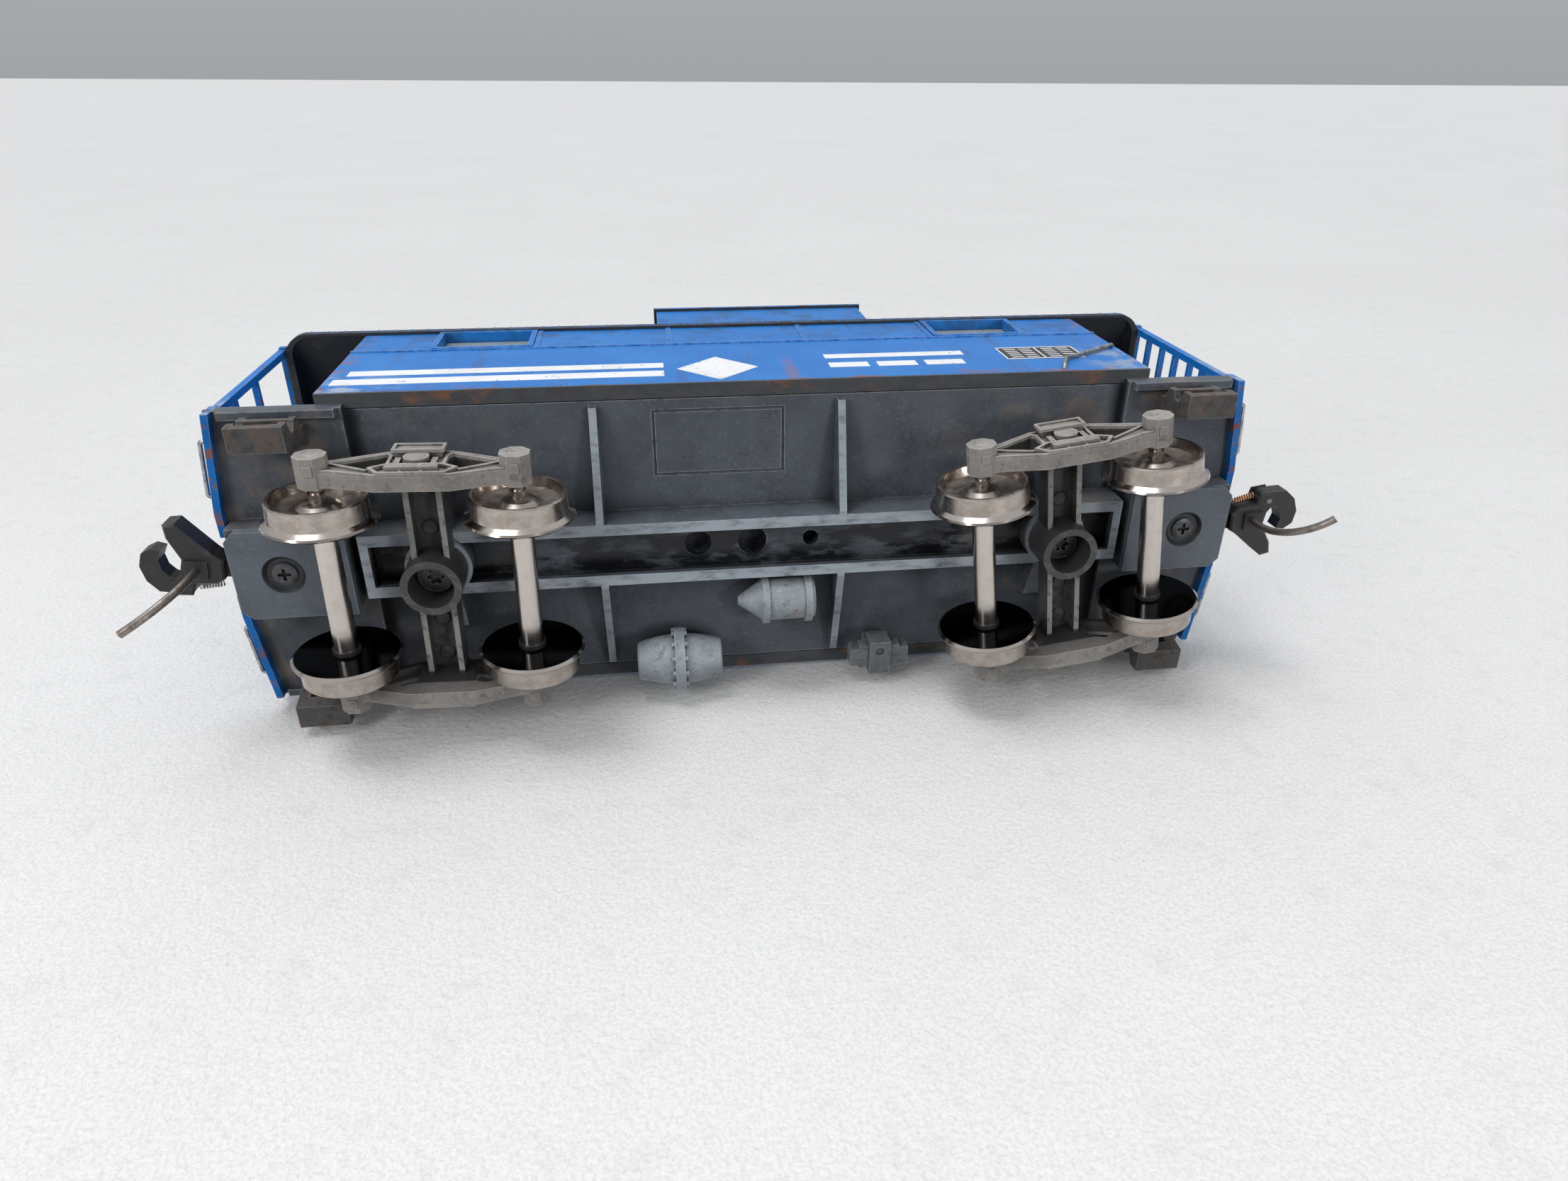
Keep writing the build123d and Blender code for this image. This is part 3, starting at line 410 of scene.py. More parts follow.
def body_paint(name):
    """Blue paint, faded and streaked, with worn corners, rust along the sill and a grey sill edge; shade is
    painted into its seams and low on the +Y side.
    """
    paint = Paint(name, BLUE, 0.42)
    paint.shader.inputs["Specular IOR Level"].default_value = 0.35
    # fading, streaks, painted shade in seams and recesses, and pale edges
    cloud = paint.noise(9.0, 6)
    fine = paint.noise(0.7, 5, seed=3)
    streak = paint.noise(1.4, 6, stretch=(1, 1, 9), seed=7)
    paint.tint(paint.step(cloud, 0.35, 0.75), (0.02, 0.22, 0.6), 0.5)
    paint.tint(paint.step(streak, 0.55, 0.72), (0.03, 0.1, 0.28), 0.6)
    paint.tint(paint.step(fine, 0.62, 0.75), WORN_BLUE, 0.25)
    # painted shade in seams and recesses
    seam_shade = paint.crevices(0.5)
    paint.tint(seam_shade, (0.012, 0.04, 0.13), 0.75)
    worn = paint.all_of(paint.edges(0.16), paint.patches(1.1, 0.38, 0.6, seed=11, detail=5))
    paint.tint(worn, (0.3, 0.45, 0.74), 0.8)
    # rust along the sill, grime over the belt rail, rust on the railings and at the corners
    lower = paint.step(paint.z, SILL + 3.2, SILL + 0.3)
    blotch = paint.patches(2.6, 0.54, 0.63, seed=19, stretch=(2.2, 1, 1))
    paint.tint(paint.all_of(lower, blotch), RUST, 0.85)
    grimy = paint.all_of(paint.step(paint.z, BELT - 1, BELT + 3), paint.patches(3.2, 0.44, 0.66, seed=22))
    paint.tint(grimy, (0.02, 0.06, 0.13), 0.5)
    along = paint.size_of(paint.x)
    on_shell = paint.step(along, RAILING_START + 0.3, RAILING_START)
    corner = paint.all_of(paint.step(along, HALF_LENGTH - 2.2, HALF_LENGTH), on_shell)
    on_railing = paint.step(along, RAILING_START + 0.8, RAILING_START + 1.8)
    rail_rust = paint.all_of(on_railing, paint.patches(1.6, 0.61, 0.68, seed=21))
    paint.tint(rail_rust, RUST, 0.8)
    on_side = paint.step(paint.size_of(paint.ny), 0.5, 0.8)
    paint.tint(paint.all_of(on_side, corner, paint.patches(1.8, 0.5, 0.62, seed=23)), RUST, 0.75)
    # wear low on the sides towards both ends, and one run of rust down the middle
    low_end = paint.all_of(on_side, paint.step(paint.x, -34, -42), paint.step(paint.z, SILL + 9, SILL + 2),
                           paint.patches(2.2, 0.42, 0.58, seed=24, stretch=(2, 1, 1)))
    paint.tint(low_end, (0.42, 0.47, 0.52), 0.75)
    bruise = paint.all_of(on_side, paint.step(paint.x, -33, -41), paint.step(paint.z, SILL + 4, SILL + 1),
                          paint.patches(1.4, 0.5, 0.6, seed=25, stretch=(2, 1, 1)))
    paint.tint(bruise, (0.15, 0.07, 0.04), 0.85)
    rubbed = paint.all_of(on_side, paint.step(paint.x, 36, 42), paint.step(paint.z, SILL + 12, SILL + 7),
                          paint.patches(2.4, 0.4, 0.6, seed=26))
    paint.tint(rubbed, (0.34, 0.4, 0.46), 0.6)
    run_x = 4.6
    run = paint.all_of(paint.step(paint.size_of(paint.math("SUBTRACT", paint.x, run_x)), 0.9, 0.3),
                       paint.step(paint.z, SILL + 11, SILL + 1),
                       paint.patches(0.9, 0.36, 0.55, seed=27, detail=5))
    paint.tint(run, RUST, 0.85)
    # the sill's grey edge and underside, and painted shade low on the +Y side, where the car lies on the
    # table
    under = paint.all_of(paint.step(paint.nz, -0.6, -0.9), paint.step(paint.z, SILL + 0.6, SILL + 0.3),
                         paint.step(paint.z, SILL - 0.6, SILL - 0.3))
    paint.tint(under, (0.14, 0.15, 0.158))
    foot = paint.all_of(paint.step(paint.z, SILL - 0.6, SILL - 0.3),
                        paint.step(paint.z, SILL + 0.45, SILL + 0.3), on_shell)
    # painted shade: a taller dark band along the lower edge of the +Y side
    far_foot_shade = paint.all_of(paint.step(paint.y, SIDE - 0.6, SIDE - 0.2),
                            paint.step(paint.z, SILL + 2.0, SILL + 1.2), on_shell)
    paint.tint(paint.any_of(foot, far_foot_shade), (0.06, 0.063, 0.068), 0.9)
    paint.tint(paint.all_of(under, paint.patches(3.0, 0.53, 0.63, seed=29, stretch=(1.6, 1, 1))), RUST, 0.55)
    paint.tint(paint.all_of(under, paint.patches(1.1, 0.4, 0.62, seed=30, stretch=(2, 1, 1))),
               (0.05, 0.055, 0.06), 0.75)
    paint.soften(paint.any_of(under, paint.all_of(lower, blotch)), 0.75)
    paint.soften(paint.step(fine, 0.4, 0.7), 0.55, 0.5)
    paint.raise_by(paint.noise(0.25, 3, seed=31), 0.012)
    paint.raise_by(paint.step(streak, 0.4, 0.7), 0.01)
    return paint.done()


def dull_plastic(name, colour, roughness, edge, edge_amount, dust=(), crevice_shade=0.7, place=None, mottled=0.5,
                 crevice=0.8, gloss=0.5):
    """Moulded plastic with pale rubbed edges, painted shade in crevices, mottling and patches of dust."""
    paint = Paint(name, colour, roughness, place=place)
    paint.shader.inputs["Specular IOR Level"].default_value = gloss
    dark = tuple(0.5 * c for c in colour)
    fine = paint.noise(0.55, 6, seed=5)
    paint.tint(paint.patches(4.5, 0.4, 0.68), dark, mottled)
    paint.tint(paint.step(fine, 0.52, 0.72), tuple(min(1, 1.7 * c) for c in colour), 0.45)
    for tone, size, threshold, amount, seed in dust:
        patch = paint.patches(size, threshold, threshold + 0.13, seed=seed)
        paint.tint(patch, tone, amount)
    worn = paint.all_of(paint.edges(0.2), paint.patches(1.3, 0.3, 0.55, seed=13, detail=5))
    paint.tint(worn, edge, edge_amount)
    # painted shade in corners and holes
    paint.tint(paint.crevices(crevice), PAINTED_SHADE, crevice_shade)
    paint.soften(paint.step(fine, 0.35, 0.7), min(0.95, roughness + 0.2), 0.6)
    paint.raise_by(paint.noise(0.22, 4, seed=17), 0.016)
    paint.raise_by(paint.noise(1.6, 4, seed=37), 0.02)
    return paint


def underframe_paint():
    """Blue-grey floor and sills: brown towards the ends, rubbed pale with a painted highlight on the flanges,
    painted shade in the end boxes and beside the lids, oily in the channel.
    """
    paint = dull_plastic("underframe_plastic", (0.088, 0.101, 0.119), 0.5, (0.4, 0.44, 0.48), 0.8,
                         crevice_shade=0.85, crevice=2.4, gloss=0.3)
    # brown patches towards the ends, rubbed patches and scratches
    near_ends = paint.any_of(paint.step(paint.x, 14, 30), paint.step(paint.x, -22, -38))
    paint.tint(paint.all_of(near_ends, paint.patches(5.0, 0.5, 0.66, seed=41)), (0.2, 0.155, 0.13), 0.6)
    rubbed = paint.all_of(paint.patches(6.0, 0.45, 0.7, seed=42), paint.patches(0.3, 0.4, 0.7, detail=3))
    paint.tint(rubbed, (0.16, 0.175, 0.2), 0.5)
    scratch = paint.patches(0.5, 0.7, 0.76, seed=43, stretch=(9, 1, 1), detail=3)
    paint.tint(scratch, (0.3, 0.31, 0.32), 0.35)
    # pale wear and a painted highlight on the centre sill's flanges, and pale wear on sloping faces
    across = paint.size_of(paint.y)
    down = paint.step(paint.nz, -0.6, -0.85)
    flange_wear_and_highlight = paint.all_of(down, paint.step(paint.z, FLANGE_HEIGHT + 0.4, FLANGE_HEIGHT),
                          paint.step(across, CHANNEL_HALF + 1.5, CHANNEL_HALF + 1.2))
    worn = paint.patches(1.0, 0.2, 0.56, seed=44, stretch=(3, 1, 1))
    # pale on the flanges' downward faces: wear, and a painted highlight
    paint.tint(paint.all_of(flange_wear_and_highlight, worn), (0.46, 0.51, 0.56), 0.88)
    slope = paint.all_of(paint.step(paint.nz, -0.5, -0.7), paint.step(paint.nz, -0.99, -0.97), worn)
    paint.tint(slope, (0.36, 0.4, 0.44), 0.85)
    # painted shade, black, in the end boxes and in the gaps beside the lids, and oil in the channel
    along = paint.size_of(paint.x)
    end_box_shade = paint.all_of(paint.step(along, 37.2, 37.5), paint.step(along, 40.6, 40.4),
                           paint.step(across, CHANNEL_HALF + 0.2, CHANNEL_HALF),
                           paint.step(paint.z, CHANNEL_FOOT, CHANNEL_FOOT + 0.6))
    paint.tint(end_box_shade, (0.004, 0.004, 0.005), 0.97)
    lid_gap_shade = paint.all_of(paint.step(along, 39.2, 40.6), paint.step(along, 41.1, 41.0),
                              paint.step(across, 4.9, 5.6), paint.step(paint.z, 13.3, 13.9))
    paint.tint(lid_gap_shade, (0.008, 0.008, 0.01), 0.85)
    channel = paint.all_of(paint.step(across, CHANNEL_HALF + 0.4, CHANNEL_HALF),
                           paint.step(paint.z, CHANNEL_FOOT, CHANNEL_FOOT + 0.9))
    oily = paint.all_of(channel, paint.patches(2.4, 0.42, 0.56, seed=47, stretch=(2.5, 1, 1), detail=5))
    paint.tint(oily, (0.006, 0.006, 0.008), 0.9)
    paint.soften(oily, 0.2)
    return paint.done()


def truck_paint(end):
    """Dusty warm grey side frames with painted shade in their openings, on a dark bolster, which is oily
    round its hub and has painted shade on its web.
    """
    dust = (((0.38, 0.34, 0.3), 3.0, 0.5, 0.5, 51), ((0.13, 0.12, 0.11), 1.2, 0.54, 0.6, 53))
    paint = dull_plastic(f"truck_plastic_{end}", (0.3, 0.28, 0.26), 0.62, (0.56, 0.54, 0.51), 0.7, dust,
                         place=truck_matrix(end), crevice_shade=0.85, crevice=1.2, gloss=0.25)
    # the side frames' recessed faces, and painted shade in their openings
    across = paint.size_of(paint.y)
    recess = paint.all_of(paint.step(across, FRAME_FACE + 0.12, FRAME_FACE + 0.05),
                          paint.step(paint.size_of(paint.ny), 0.75, 0.95))
    paint.tint(recess, (0.12, 0.115, 0.11), 0.6)
    # painted shade inside the side frames' openings
    opening_shade = paint.all_of(paint.step(across, FRAME_FACE - 0.05, FRAME_FACE - 0.3),
                           paint.step(paint.z, 4.8, 5.1), paint.step(paint.size_of(paint.x), 7.9, 7.5))
    paint.tint(opening_shade, (0.015, 0.015, 0.015), 0.85)
    # the bolster, oily round its hub, with painted shade in patches on its web, and rubbed underneath
    bolster = paint.step(across, BOLSTER_END, BOLSTER_END - 0.2)
    paint.tint(bolster, (0.085, 0.085, 0.083), 0.93)
    from_hub = paint.math("ADD", paint.from_line(0.0), paint.noise(1.5, 5, seed=57))
    oil = paint.all_of(bolster, paint.step(from_hub, 6.6, 4.8))
    web_shade = paint.all_of(bolster, paint.step(paint.z, 6.8, 7.4), paint.patches(1.8, 0.45, 0.6, seed=59))
    # near black: oil round the hub, and painted shade on the web between the flanges
    paint.tint(paint.any_of(oil, web_shade), (0.034, 0.034, 0.038), 0.7)
    rubbed = paint.all_of(bolster, paint.step(paint.nz, -0.6, -0.85),
                          paint.patches(0.9, 0.25, 0.5, seed=58, detail=5))
    paint.tint(paint.all_of(rubbed, paint.step(paint.z, 6.9, 6.75)), (0.33, 0.325, 0.31), 0.85)
    hub_ring = paint.step(paint.z, 5.2, 5.0)
    paint.tint(paint.all_of(rubbed, hub_ring), (0.05, 0.05, 0.05), 0.9)
    paint.soften(oil, 0.25, 0.7)
    return paint.done()


def wheel_paint(end):
    """Turned, plated metal with dull treads and faces, and a blackened back."""
    paint = Paint(f"wheel_metal_{end}", (0.43, 0.385, 0.35), 0.17, 1.0, truck_matrix(end))
    across = paint.size_of(paint.y)
    fine = paint.noise(0.8, 6, seed=61)
    paint.tint(paint.step(fine, 0.4, 0.7), (0.42, 0.36, 0.32), 0.3)
    face = paint.all_of(paint.step(across, WHEEL_INNER_FACE + 1.5, WHEEL_INNER_FACE + 1.6),
                        paint.step(paint.size_of(paint.ny), 0.6, 0.9))
    paint.tint(paint.all_of(face, paint.patches(1.6, 0.3, 0.6, seed=67)), (0.25, 0.21, 0.185), 0.8)
    paint.soften(face, 0.45)
    tread = paint.all_of(paint.step(across, WHEEL_INNER_FACE + 0.8, WHEEL_INNER_FACE + 1.0),
                         paint.patches(1.3, 0.42, 0.6, seed=71, detail=8))
    paint.tint(tread, (0.27, 0.225, 0.19), 0.5)
    paint.soften(tread, 0.3)
    back = paint.step(across, WHEEL_INNER_FACE + 0.06, WHEEL_INNER_FACE + 0.02)
    paint.tint(back, (0.008, 0.008, 0.009))
    paint.soften(back, 0.12)
    paint.raise_by(paint.noise(0.35, 4, seed=73), 0.006)
    return paint.done()


def metal(name, colour, roughness, dirt, dirt_amount, size=0.8, place=None, dulled=0.7):
    """Drawn or turned metal with fine dirt, dull where the dirt is, and painted shade in its hollows."""
    paint = Paint(name, colour, roughness, 1.0, place)
    fine = paint.noise(size, 6, seed=79)
    paint.tint(paint.step(fine, 0.42, 0.68), dirt, dirt_amount)
    # painted shade in corners and holes
    paint.tint(paint.crevices(0.35), PAINTED_SHADE, 0.5)
    paint.soften(paint.step(fine, 0.4, 0.7), min(0.9, roughness + 0.25), dulled)
    paint.raise_by(paint.noise(0.2, 4, seed=83), 0.006 * dulled)
    return paint.done()


def marking_paint(name, colour, under):
    """Printed paint, rubbed through to the blue in places."""
    paint = Paint(name, colour, 0.45)
    paint.tint(paint.patches(0.9, 0.62, 0.7, seed=89), under, 0.75)
    paint.tint(paint.patches(5.0, 0.45, 0.75, seed=97, detail=5), tuple(0.72 * c for c in colour), 0.5)
    paint.tint(paint.step(paint.z, SILL + 2.4, SILL + 0.6), (0.3, 0.36, 0.45), 0.6)
    paint.raise_by(paint.noise(0.25, 3, seed=101), 0.01)
    return paint.done()


def glazing_paint():
    """Clear plastic with a haze of dust."""
    paint = Paint("glazing", (0.62, 0.66, 0.64), 0.1)
    paint.shader.inputs["Transmission Weight"].default_value = 0.55
    paint.shader.inputs["IOR"].default_value = 1.47
    haze = paint.patches(1.8, 0.4, 0.7, seed=103)
    paint.tint(haze, (0.4, 0.42, 0.4), 0.5)
    paint.soften(haze, 0.35)
    paint.raise_by(paint.noise(0.5, 3, seed=107), 0.004)
    return paint.done()


def roof_paint(name, fascia):
    """Black on top; the upright edge faces carry another colour."""
    paint = dull_plastic(name, (0.018, 0.018, 0.021), 0.55, (0.12, 0.12, 0.12), 0.5,
                         dust=(((0.06, 0.055, 0.05), 2.5, 0.56, 0.5, 109),))
    upright = paint.all_of(paint.step(paint.size_of(paint.nz), 0.5, 0.3),
                           paint.step(paint.z, EAVE - 1.5, EAVE - 1.2),
                           paint.step(paint.size_of(paint.y), SIDE - 1.9, SIDE - 1.4))
    paint.tint(paint.all_of(upright, paint.patches(1.2, 0.62, 0.42, seed=110)), fascia, 0.9)
    return paint.done()


def screw_paint(name):
    """A dark screw whose cross slot is painted black as shade."""
    paint = Paint(name, (0.085, 0.088, 0.094), 0.4, 0.5)
    fine = paint.noise(0.4, 5, seed=111)
    paint.tint(paint.step(fine, 0.4, 0.65), (0.04, 0.04, 0.043), 0.7)
    # painted shade in the cross slot
    slot_shade = paint.all_of(paint.step(paint.z, LID_SCREW_FACE, LID_SCREW_FACE + 0.03),
                        paint.step(paint.from_line(LID_SCREW_X), 0.9, 0.87))
    paint.tint(slot_shade, (0.004, 0.004, 0.004))
    paint.raise_by(paint.noise(0.2, 4, seed=83), 0.006)
    return paint.done()


blue = body_paint("blue_paint")
roof_black = roof_paint("roof_paint", (0.02, 0.065, 0.17))
cupola_black = roof_paint("cupola_roof_paint", BLUE)
underframe_grey = underframe_paint()
lid_paint = dull_plastic("lid_plastic", (0.12, 0.14, 0.165), 0.45, (0.36, 0.39, 0.42), 0.7, crevice_shade=0.9,
                         mottled=0.4)
# painted shade in the dish round the lid's screw
dish_shade = lid_paint.step(lid_paint.from_line(LID_SCREW_X), 2.25, 2.0)
lid_paint.tint(dish_shade, (0.006, 0.006, 0.007), 0.92)
lid_grey = lid_paint.done()
rivet_grey = dull_plastic("eave_rivet_paint", (0.06, 0.14, 0.28), 0.5, (0.4, 0.48, 0.6), 0.8).done()
step_grey = dull_plastic("step_plastic", (0.07, 0.067, 0.066), 0.6, (0.28, 0.27, 0.26), 0.6,
                         dust=(((0.12, 0.08, 0.06), 2.4, 0.48, 0.6, 128), (RUST, 1.5, 0.62, 0.6, 113),
                               ((0.025, 0.023, 0.022), 1.1, 0.5, 0.7, 127))).done()
valve_grey = dull_plastic("valve_plastic", (0.14, 0.15, 0.16), 0.5, (0.42, 0.44, 0.46), 0.6,
                          dust=((RUST, 1.1, 0.6, 0.7, 133), ((0.05, 0.055, 0.06), 1.0, 0.5, 0.6, 137))).done()
gear_grey = dull_plastic("brake_gear_plastic", (0.32, 0.355, 0.385), 0.5, (0.55, 0.58, 0.6), 0.6,
                         dust=(((0.24, 0.12, 0.07), 1.7, 0.58, 0.65, 131),
                               ((0.1, 0.115, 0.13), 1.0, 0.55, 0.6, 137))).done()
coupler_black = dull_plastic("coupler_plastic", (0.016, 0.015, 0.016), 0.4, (0.14, 0.13, 0.13), 0.55,
                             dust=(((0.07, 0.055, 0.05), 1.2, 0.58, 0.5, 139),), crevice_shade=0.4).done()
bush_black = dull_plastic("bush_plastic", (0.02, 0.019, 0.019), 0.35, (0.1, 0.1, 0.1), 0.3).done()
lid_screw_metal = screw_paint("lid_screw_metal")
screw_dark = dull_plastic("screw_metal", (0.012, 0.012, 0.013), 0.25, (0.5, 0.49, 0.47), 0.35,
                          crevice_shade=0.9).done()
wire_pale = metal("wire_metal", (0.42, 0.43, 0.44), 0.4, (0.12, 0.1, 0.09), 0.7)
pin_grey = metal("trip_pin_metal", (0.27, 0.235, 0.21), 0.42, (0.1, 0.085, 0.075), 0.7)
bronze = metal("spring_bronze", (0.62, 0.34, 0.19), 0.3, (0.16, 0.08, 0.05), 0.6, 0.4)
silver = metal("spring_silver", (0.6, 0.6, 0.58), 0.3, (0.2, 0.19, 0.18), 0.6, 0.4)
weight_steel = metal("weight_metal", (0.35, 0.35, 0.35), 0.45, (0.15, 0.12, 0.1), 0.5, 3.0)
glazing = glazing_paint()
white_print = marking_paint("white_print", (0.78, 0.79, 0.8), BLUE)
black_print = marking_paint("black_print", (0.012, 0.012, 0.014), (0.02, 0.06, 0.18))

truck_plastic = {end: truck_paint(end) for end in ENDS}
wheel_metal = {end: wheel_paint(end) for end in ENDS}
axle_metal = {end: metal(f"axle_metal_{end}", (0.58, 0.53, 0.49), 0.2, (0.42, 0.375, 0.335), 0.3, 1.4,
                         place=truck_matrix(end), dulled=0.25) for end in ENDS}

# The start of a CAD node's name, and its material.
CAD_LOOKS = {
    "body_shell": blue, "cupola": blue, "end_door": blue, "end_railing": blue, "brake_wheel": blue,
    "roof": roof_black, "cupola_roof": cupola_black, "smoke_jack": roof_black,
    "side_glazing": glazing, "end_glazing": glazing, "cupola_glazing": glazing,
    "underframe": underframe_grey, "coupler_lid": lid_grey, "step": step_grey, "steel_weight": weight_steel,
    "lid_screws": lid_screw_metal, "truck_screws": screw_dark, "grab_irons": wire_pale,
    "corner_handrails": wire_pale, "air_reservoir": gear_grey, "brake_cylinder": gear_grey,
    "control_valve": valve_grey, "axle_bush": bush_black, "coupler_head": coupler_black,
    "knuckle": coupler_black, "knuckle_pin": pin_grey, "knuckle_spring": bronze, "trip_pin": pin_grey,
    "centring_spring": bronze,
}


def look_for(node):
    """A CAD node's material: a truck's parts have their own, the rest go by the start of the name."""
    if node.startswith("truck_frame"):
        return truck_plastic[node[-1]]
    if node.startswith("wheel_"):
        return wheel_metal[node[-2]]
    if node.startswith("axle_") and "bush" not in node:
        return axle_metal[node[-2]]
    fitting = [start for start in CAD_LOOKS if node.startswith(start)]
    return CAD_LOOKS[max(fitting, key=len)]


for name, node in frame["nodes"].items():
    node.data.materials.clear()
    node.data.materials.append(look_for(name))
    smooth(node.data, 28)


# --- body details ------------------------------------------------------------------------
def spread(low, high, pitch):
    """Evenly spaced places from low to high, about a pitch apart."""
    count = max(1, round((high - low) / pitch))
    return [low + (high - low) * k / count for k in range(count + 1)]


def body_rivets():
    """Rows along the belt rail and the sill, and up the corners."""
    bm = bmesh.new()
    corner_x = HALF_LENGTH - 0.6
    for side in (-1, 1):
        belt_row = []
        for x in spread(-corner_x, corner_x, 0.86):
            belt_row.append((x, BELT - 0.5))
            if abs(abs(x) - WINDOW_X) > WINDOW_HALF + 0.8:
                belt_row.append((x, BELT + 0.5))
        sill_row = [(x, SILL + 0.7) for x in spread(-corner_x, corner_x, 1.3)]
        corners = [(x, z) for x in (-corner_x, corner_x) for z in spread(SILL + 2, EAVE - 2, 1.1)]
        for row, radius, height in ((belt_row, 0.12, 0.07), (sill_row + corners, 0.11, 0.06)):
            for x, z in row:
                rivet(bm, (x, side * SIDE, z), (0, side, 0), radius, height, 6)
    piece("body_rivets", bm, "car_body", blue)


def side_seams():
    """Cover strips over the plate joints, from the belt rail to the eave."""
    bm = bmesh.new()
    for side in (-1, 1):
        for x in (-23.3, -8.0, 8.0, 23.3):
            block(bm, (x - 0.3, side * SIDE - 0.12, BELT + 0.2),
                  (x + 0.3, side * SIDE + 0.12, EAVE - 1.0), 0.05)
    piece("side_seams", bm, "car_body", blue)


def eave_rivets():
    """A row of larger rivets along each edge of the roof."""
    bm = bmesh.new()
    for side in (-1, 1):
        for x in spread(roof_low.x + 3.4, roof_high.x - 3.4, 1.93):
            rivet(bm, (x, side * EAVE_HALF_WIDTH, EAVE - 0.45), (0, side, 0), 0.2, 0.16)
    piece("eave_rivets", bm, "car_body", rivet_grey)


def arc_strip(bm, x_low, x_high, half_width, radius, crown, thickness, steps=28):
    """A strip across a roof that follows its curve."""
    rings = []
    for k in range(steps + 1):
        y = half_width * (2 * k / steps - 1)
        up = Vector((0, y, math.sqrt(radius**2 - y**2))) / radius
        axis = Vector((0, 0, crown - radius))
        low = axis + up * (radius - 0.06)
        high = axis + up * (radius + thickness)
        corners = ((x_low, low), (x_low, high), (x_high, high), (x_high, low))
        rings.append([bm.verts.new((x, p.y, p.z)) for x, p in corners])
    for first, second in zip(rings, rings[1:]):
        for k in range(4):
            n = (k + 1) % 4
            bm.faces.new((first[k], first[n], second[n], second[k]))
    bm.faces.new(rings[0])
    bm.faces.new(list(reversed(rings[-1])))


def roof_battens():
    """Battens across the roof, except under the cupola."""
    bm = bmesh.new()
    for x in spread(roof_low.x + 3.2, roof_high.x - 3.2, 8.4):
        if cupola_low.x - 1 < x < cupola_high.x + 1:
            continue
        arc_strip(bm, x - 0.3, x + 0.3, EAVE_HALF_WIDTH - 0.5, ROOF_RADIUS, ROOF_CROWN, 0.22)
    piece("roof_battens", bm, "car_body", roof_black)


# Markings are listed as they stand on the -Y side, as (x low, x high, z low, z high).
STRIPES = ((-42.9, -9.0, 17.0, 19.0), (-41.9, -9.0, 20.2, 22.0))
BARS = ((9.0, 25.0, 22.0, 23.6), (9.0, 13.4, 18.4, 20.2), (14.4, 18.8, 18.4, 20.2), (19.8, 24.2, 18.4, 20.2))
PANEL = (29.4, 38.4, 19.6, 24.2)
DIAMOND_X, DIAMOND_Z, DIAMOND_HALF = -3.2, 19.5, 4.4
PRINT_THICKNESS = 0.03
LINE_WIDTH = 0.2
CELLS = (30.1, 34.6)
DASHES = ((0.0, 1.4), (1.8, 3.2))
DASH_ROWS = [23.45 - row * 0.8 for row in range(5)]


def printed(bm, corners, side):
    """A printed patch on a side, from its four corners as (x, z)."""
    back = [bm.verts.new((x, side * (SIDE - PRINT_THICKNESS), z)) for x, z in corners]
    front = [bm.verts.new((x, side * (SIDE + PRINT_THICKNESS), z)) for x, z in corners]
    bm.faces.new(back)
    bm.faces.new(front)
    for k in range(4):
        n = (k + 1) % 4
        bm.faces.new((back[k], back[n], front[n], front[k]))


def turned(side, x_low, x_high):
    """An x range of the -Y side on either side: the +Y side has its markings turned round."""
    return sorted((-side * x_low, -side * x_high))


def printed_bar(bm, bar, side):
    """A printed rectangle on a side."""
    low, high = turned(side, *bar[:2])
    foot, top = bar[2:]
    printed(bm, ((low, foot), (high, foot), (high, top), (low, top)), side)


def panel_line(bm, side, x_low, x_high, foot, top):
    """A thin raised line on a data panel."""
    low, high = turned(side, x_low, x_high)
    face = side * (SIDE + 0.04)
    block(bm, (low, face - 0.02, foot), (high, face + 0.02, top))


def side_markings():
    """Plain markings: two stripes, a diamond and bars in the places of a name and a number."""
    white = bmesh.new()
    black = bmesh.new()
    lines = bmesh.new()
    for side in (-1, 1):
        for bar in STRIPES:
            printed_bar(white, bar, side)
        x, z, half = -side * DIAMOND_X, DIAMOND_Z, DIAMOND_HALF
        printed(white, ((x - half, z), (x, z - half), (x + half, z), (x, z + half)), side)
        for bar in BARS:
            printed_bar(white, bar, side)
        printed_bar(black, PANEL, side)
        for z in (19.5, 24.05):
            panel_line(lines, side, 29.3, 38.5, z, z + LINE_WIDTH)
        for x in (29.32, 33.82, 38.32):
            panel_line(lines, side, x, x + 0.16, 19.6, 24.15)
        for cell in CELLS:
            for z in DASH_ROWS:
                for start, finish in DASHES:
                    panel_line(lines, side, cell + start, cell + finish, z - 0.11, z + 0.11)
    piece("side_markings", white, "car_body", white_print)
    piece("data_panels", black, "car_body", black_print)
    piece("data_panel_lines", lines, "car_body", white_print)


# --- truck details -------------------------------------------------------------------------
# Outlines on a side frame's face, as (x, z); the opening is the one at +X.
OPENING = ((8.1, 6.3), (3.0, 8.65), (2.6, 8.3), (2.6, 5.6), (3.2, 4.75), (4.3, 4.35))
SPRING_SEAT = ((-3.9, 4.4), (-3.0, 3.15), (3.0, 3.15), (3.9, 4.4), (2.5, 5.3), (-2.5, 5.3))
FRAME_OUTLINE = ((-9.0, 4.5), (-7.5, 4.4), (-3.4, 3.1), (3.4, 3.1), (7.5, 4.4), (9.0, 4.5), (9.0, 6.5),
                 (7.7, 7.0), (3.0, 9.1), (-3.0, 9.1), (-7.7, 7.0), (-9.0, 6.5))
PLANK = ((-2.3, 7.6), (2.3, 7.6), (2.3, 9.2), (-2.3, 9.2))
PIN_MARK = ((-0.2, 0.8), (0.14, 0.8), (0.24, 0.68))


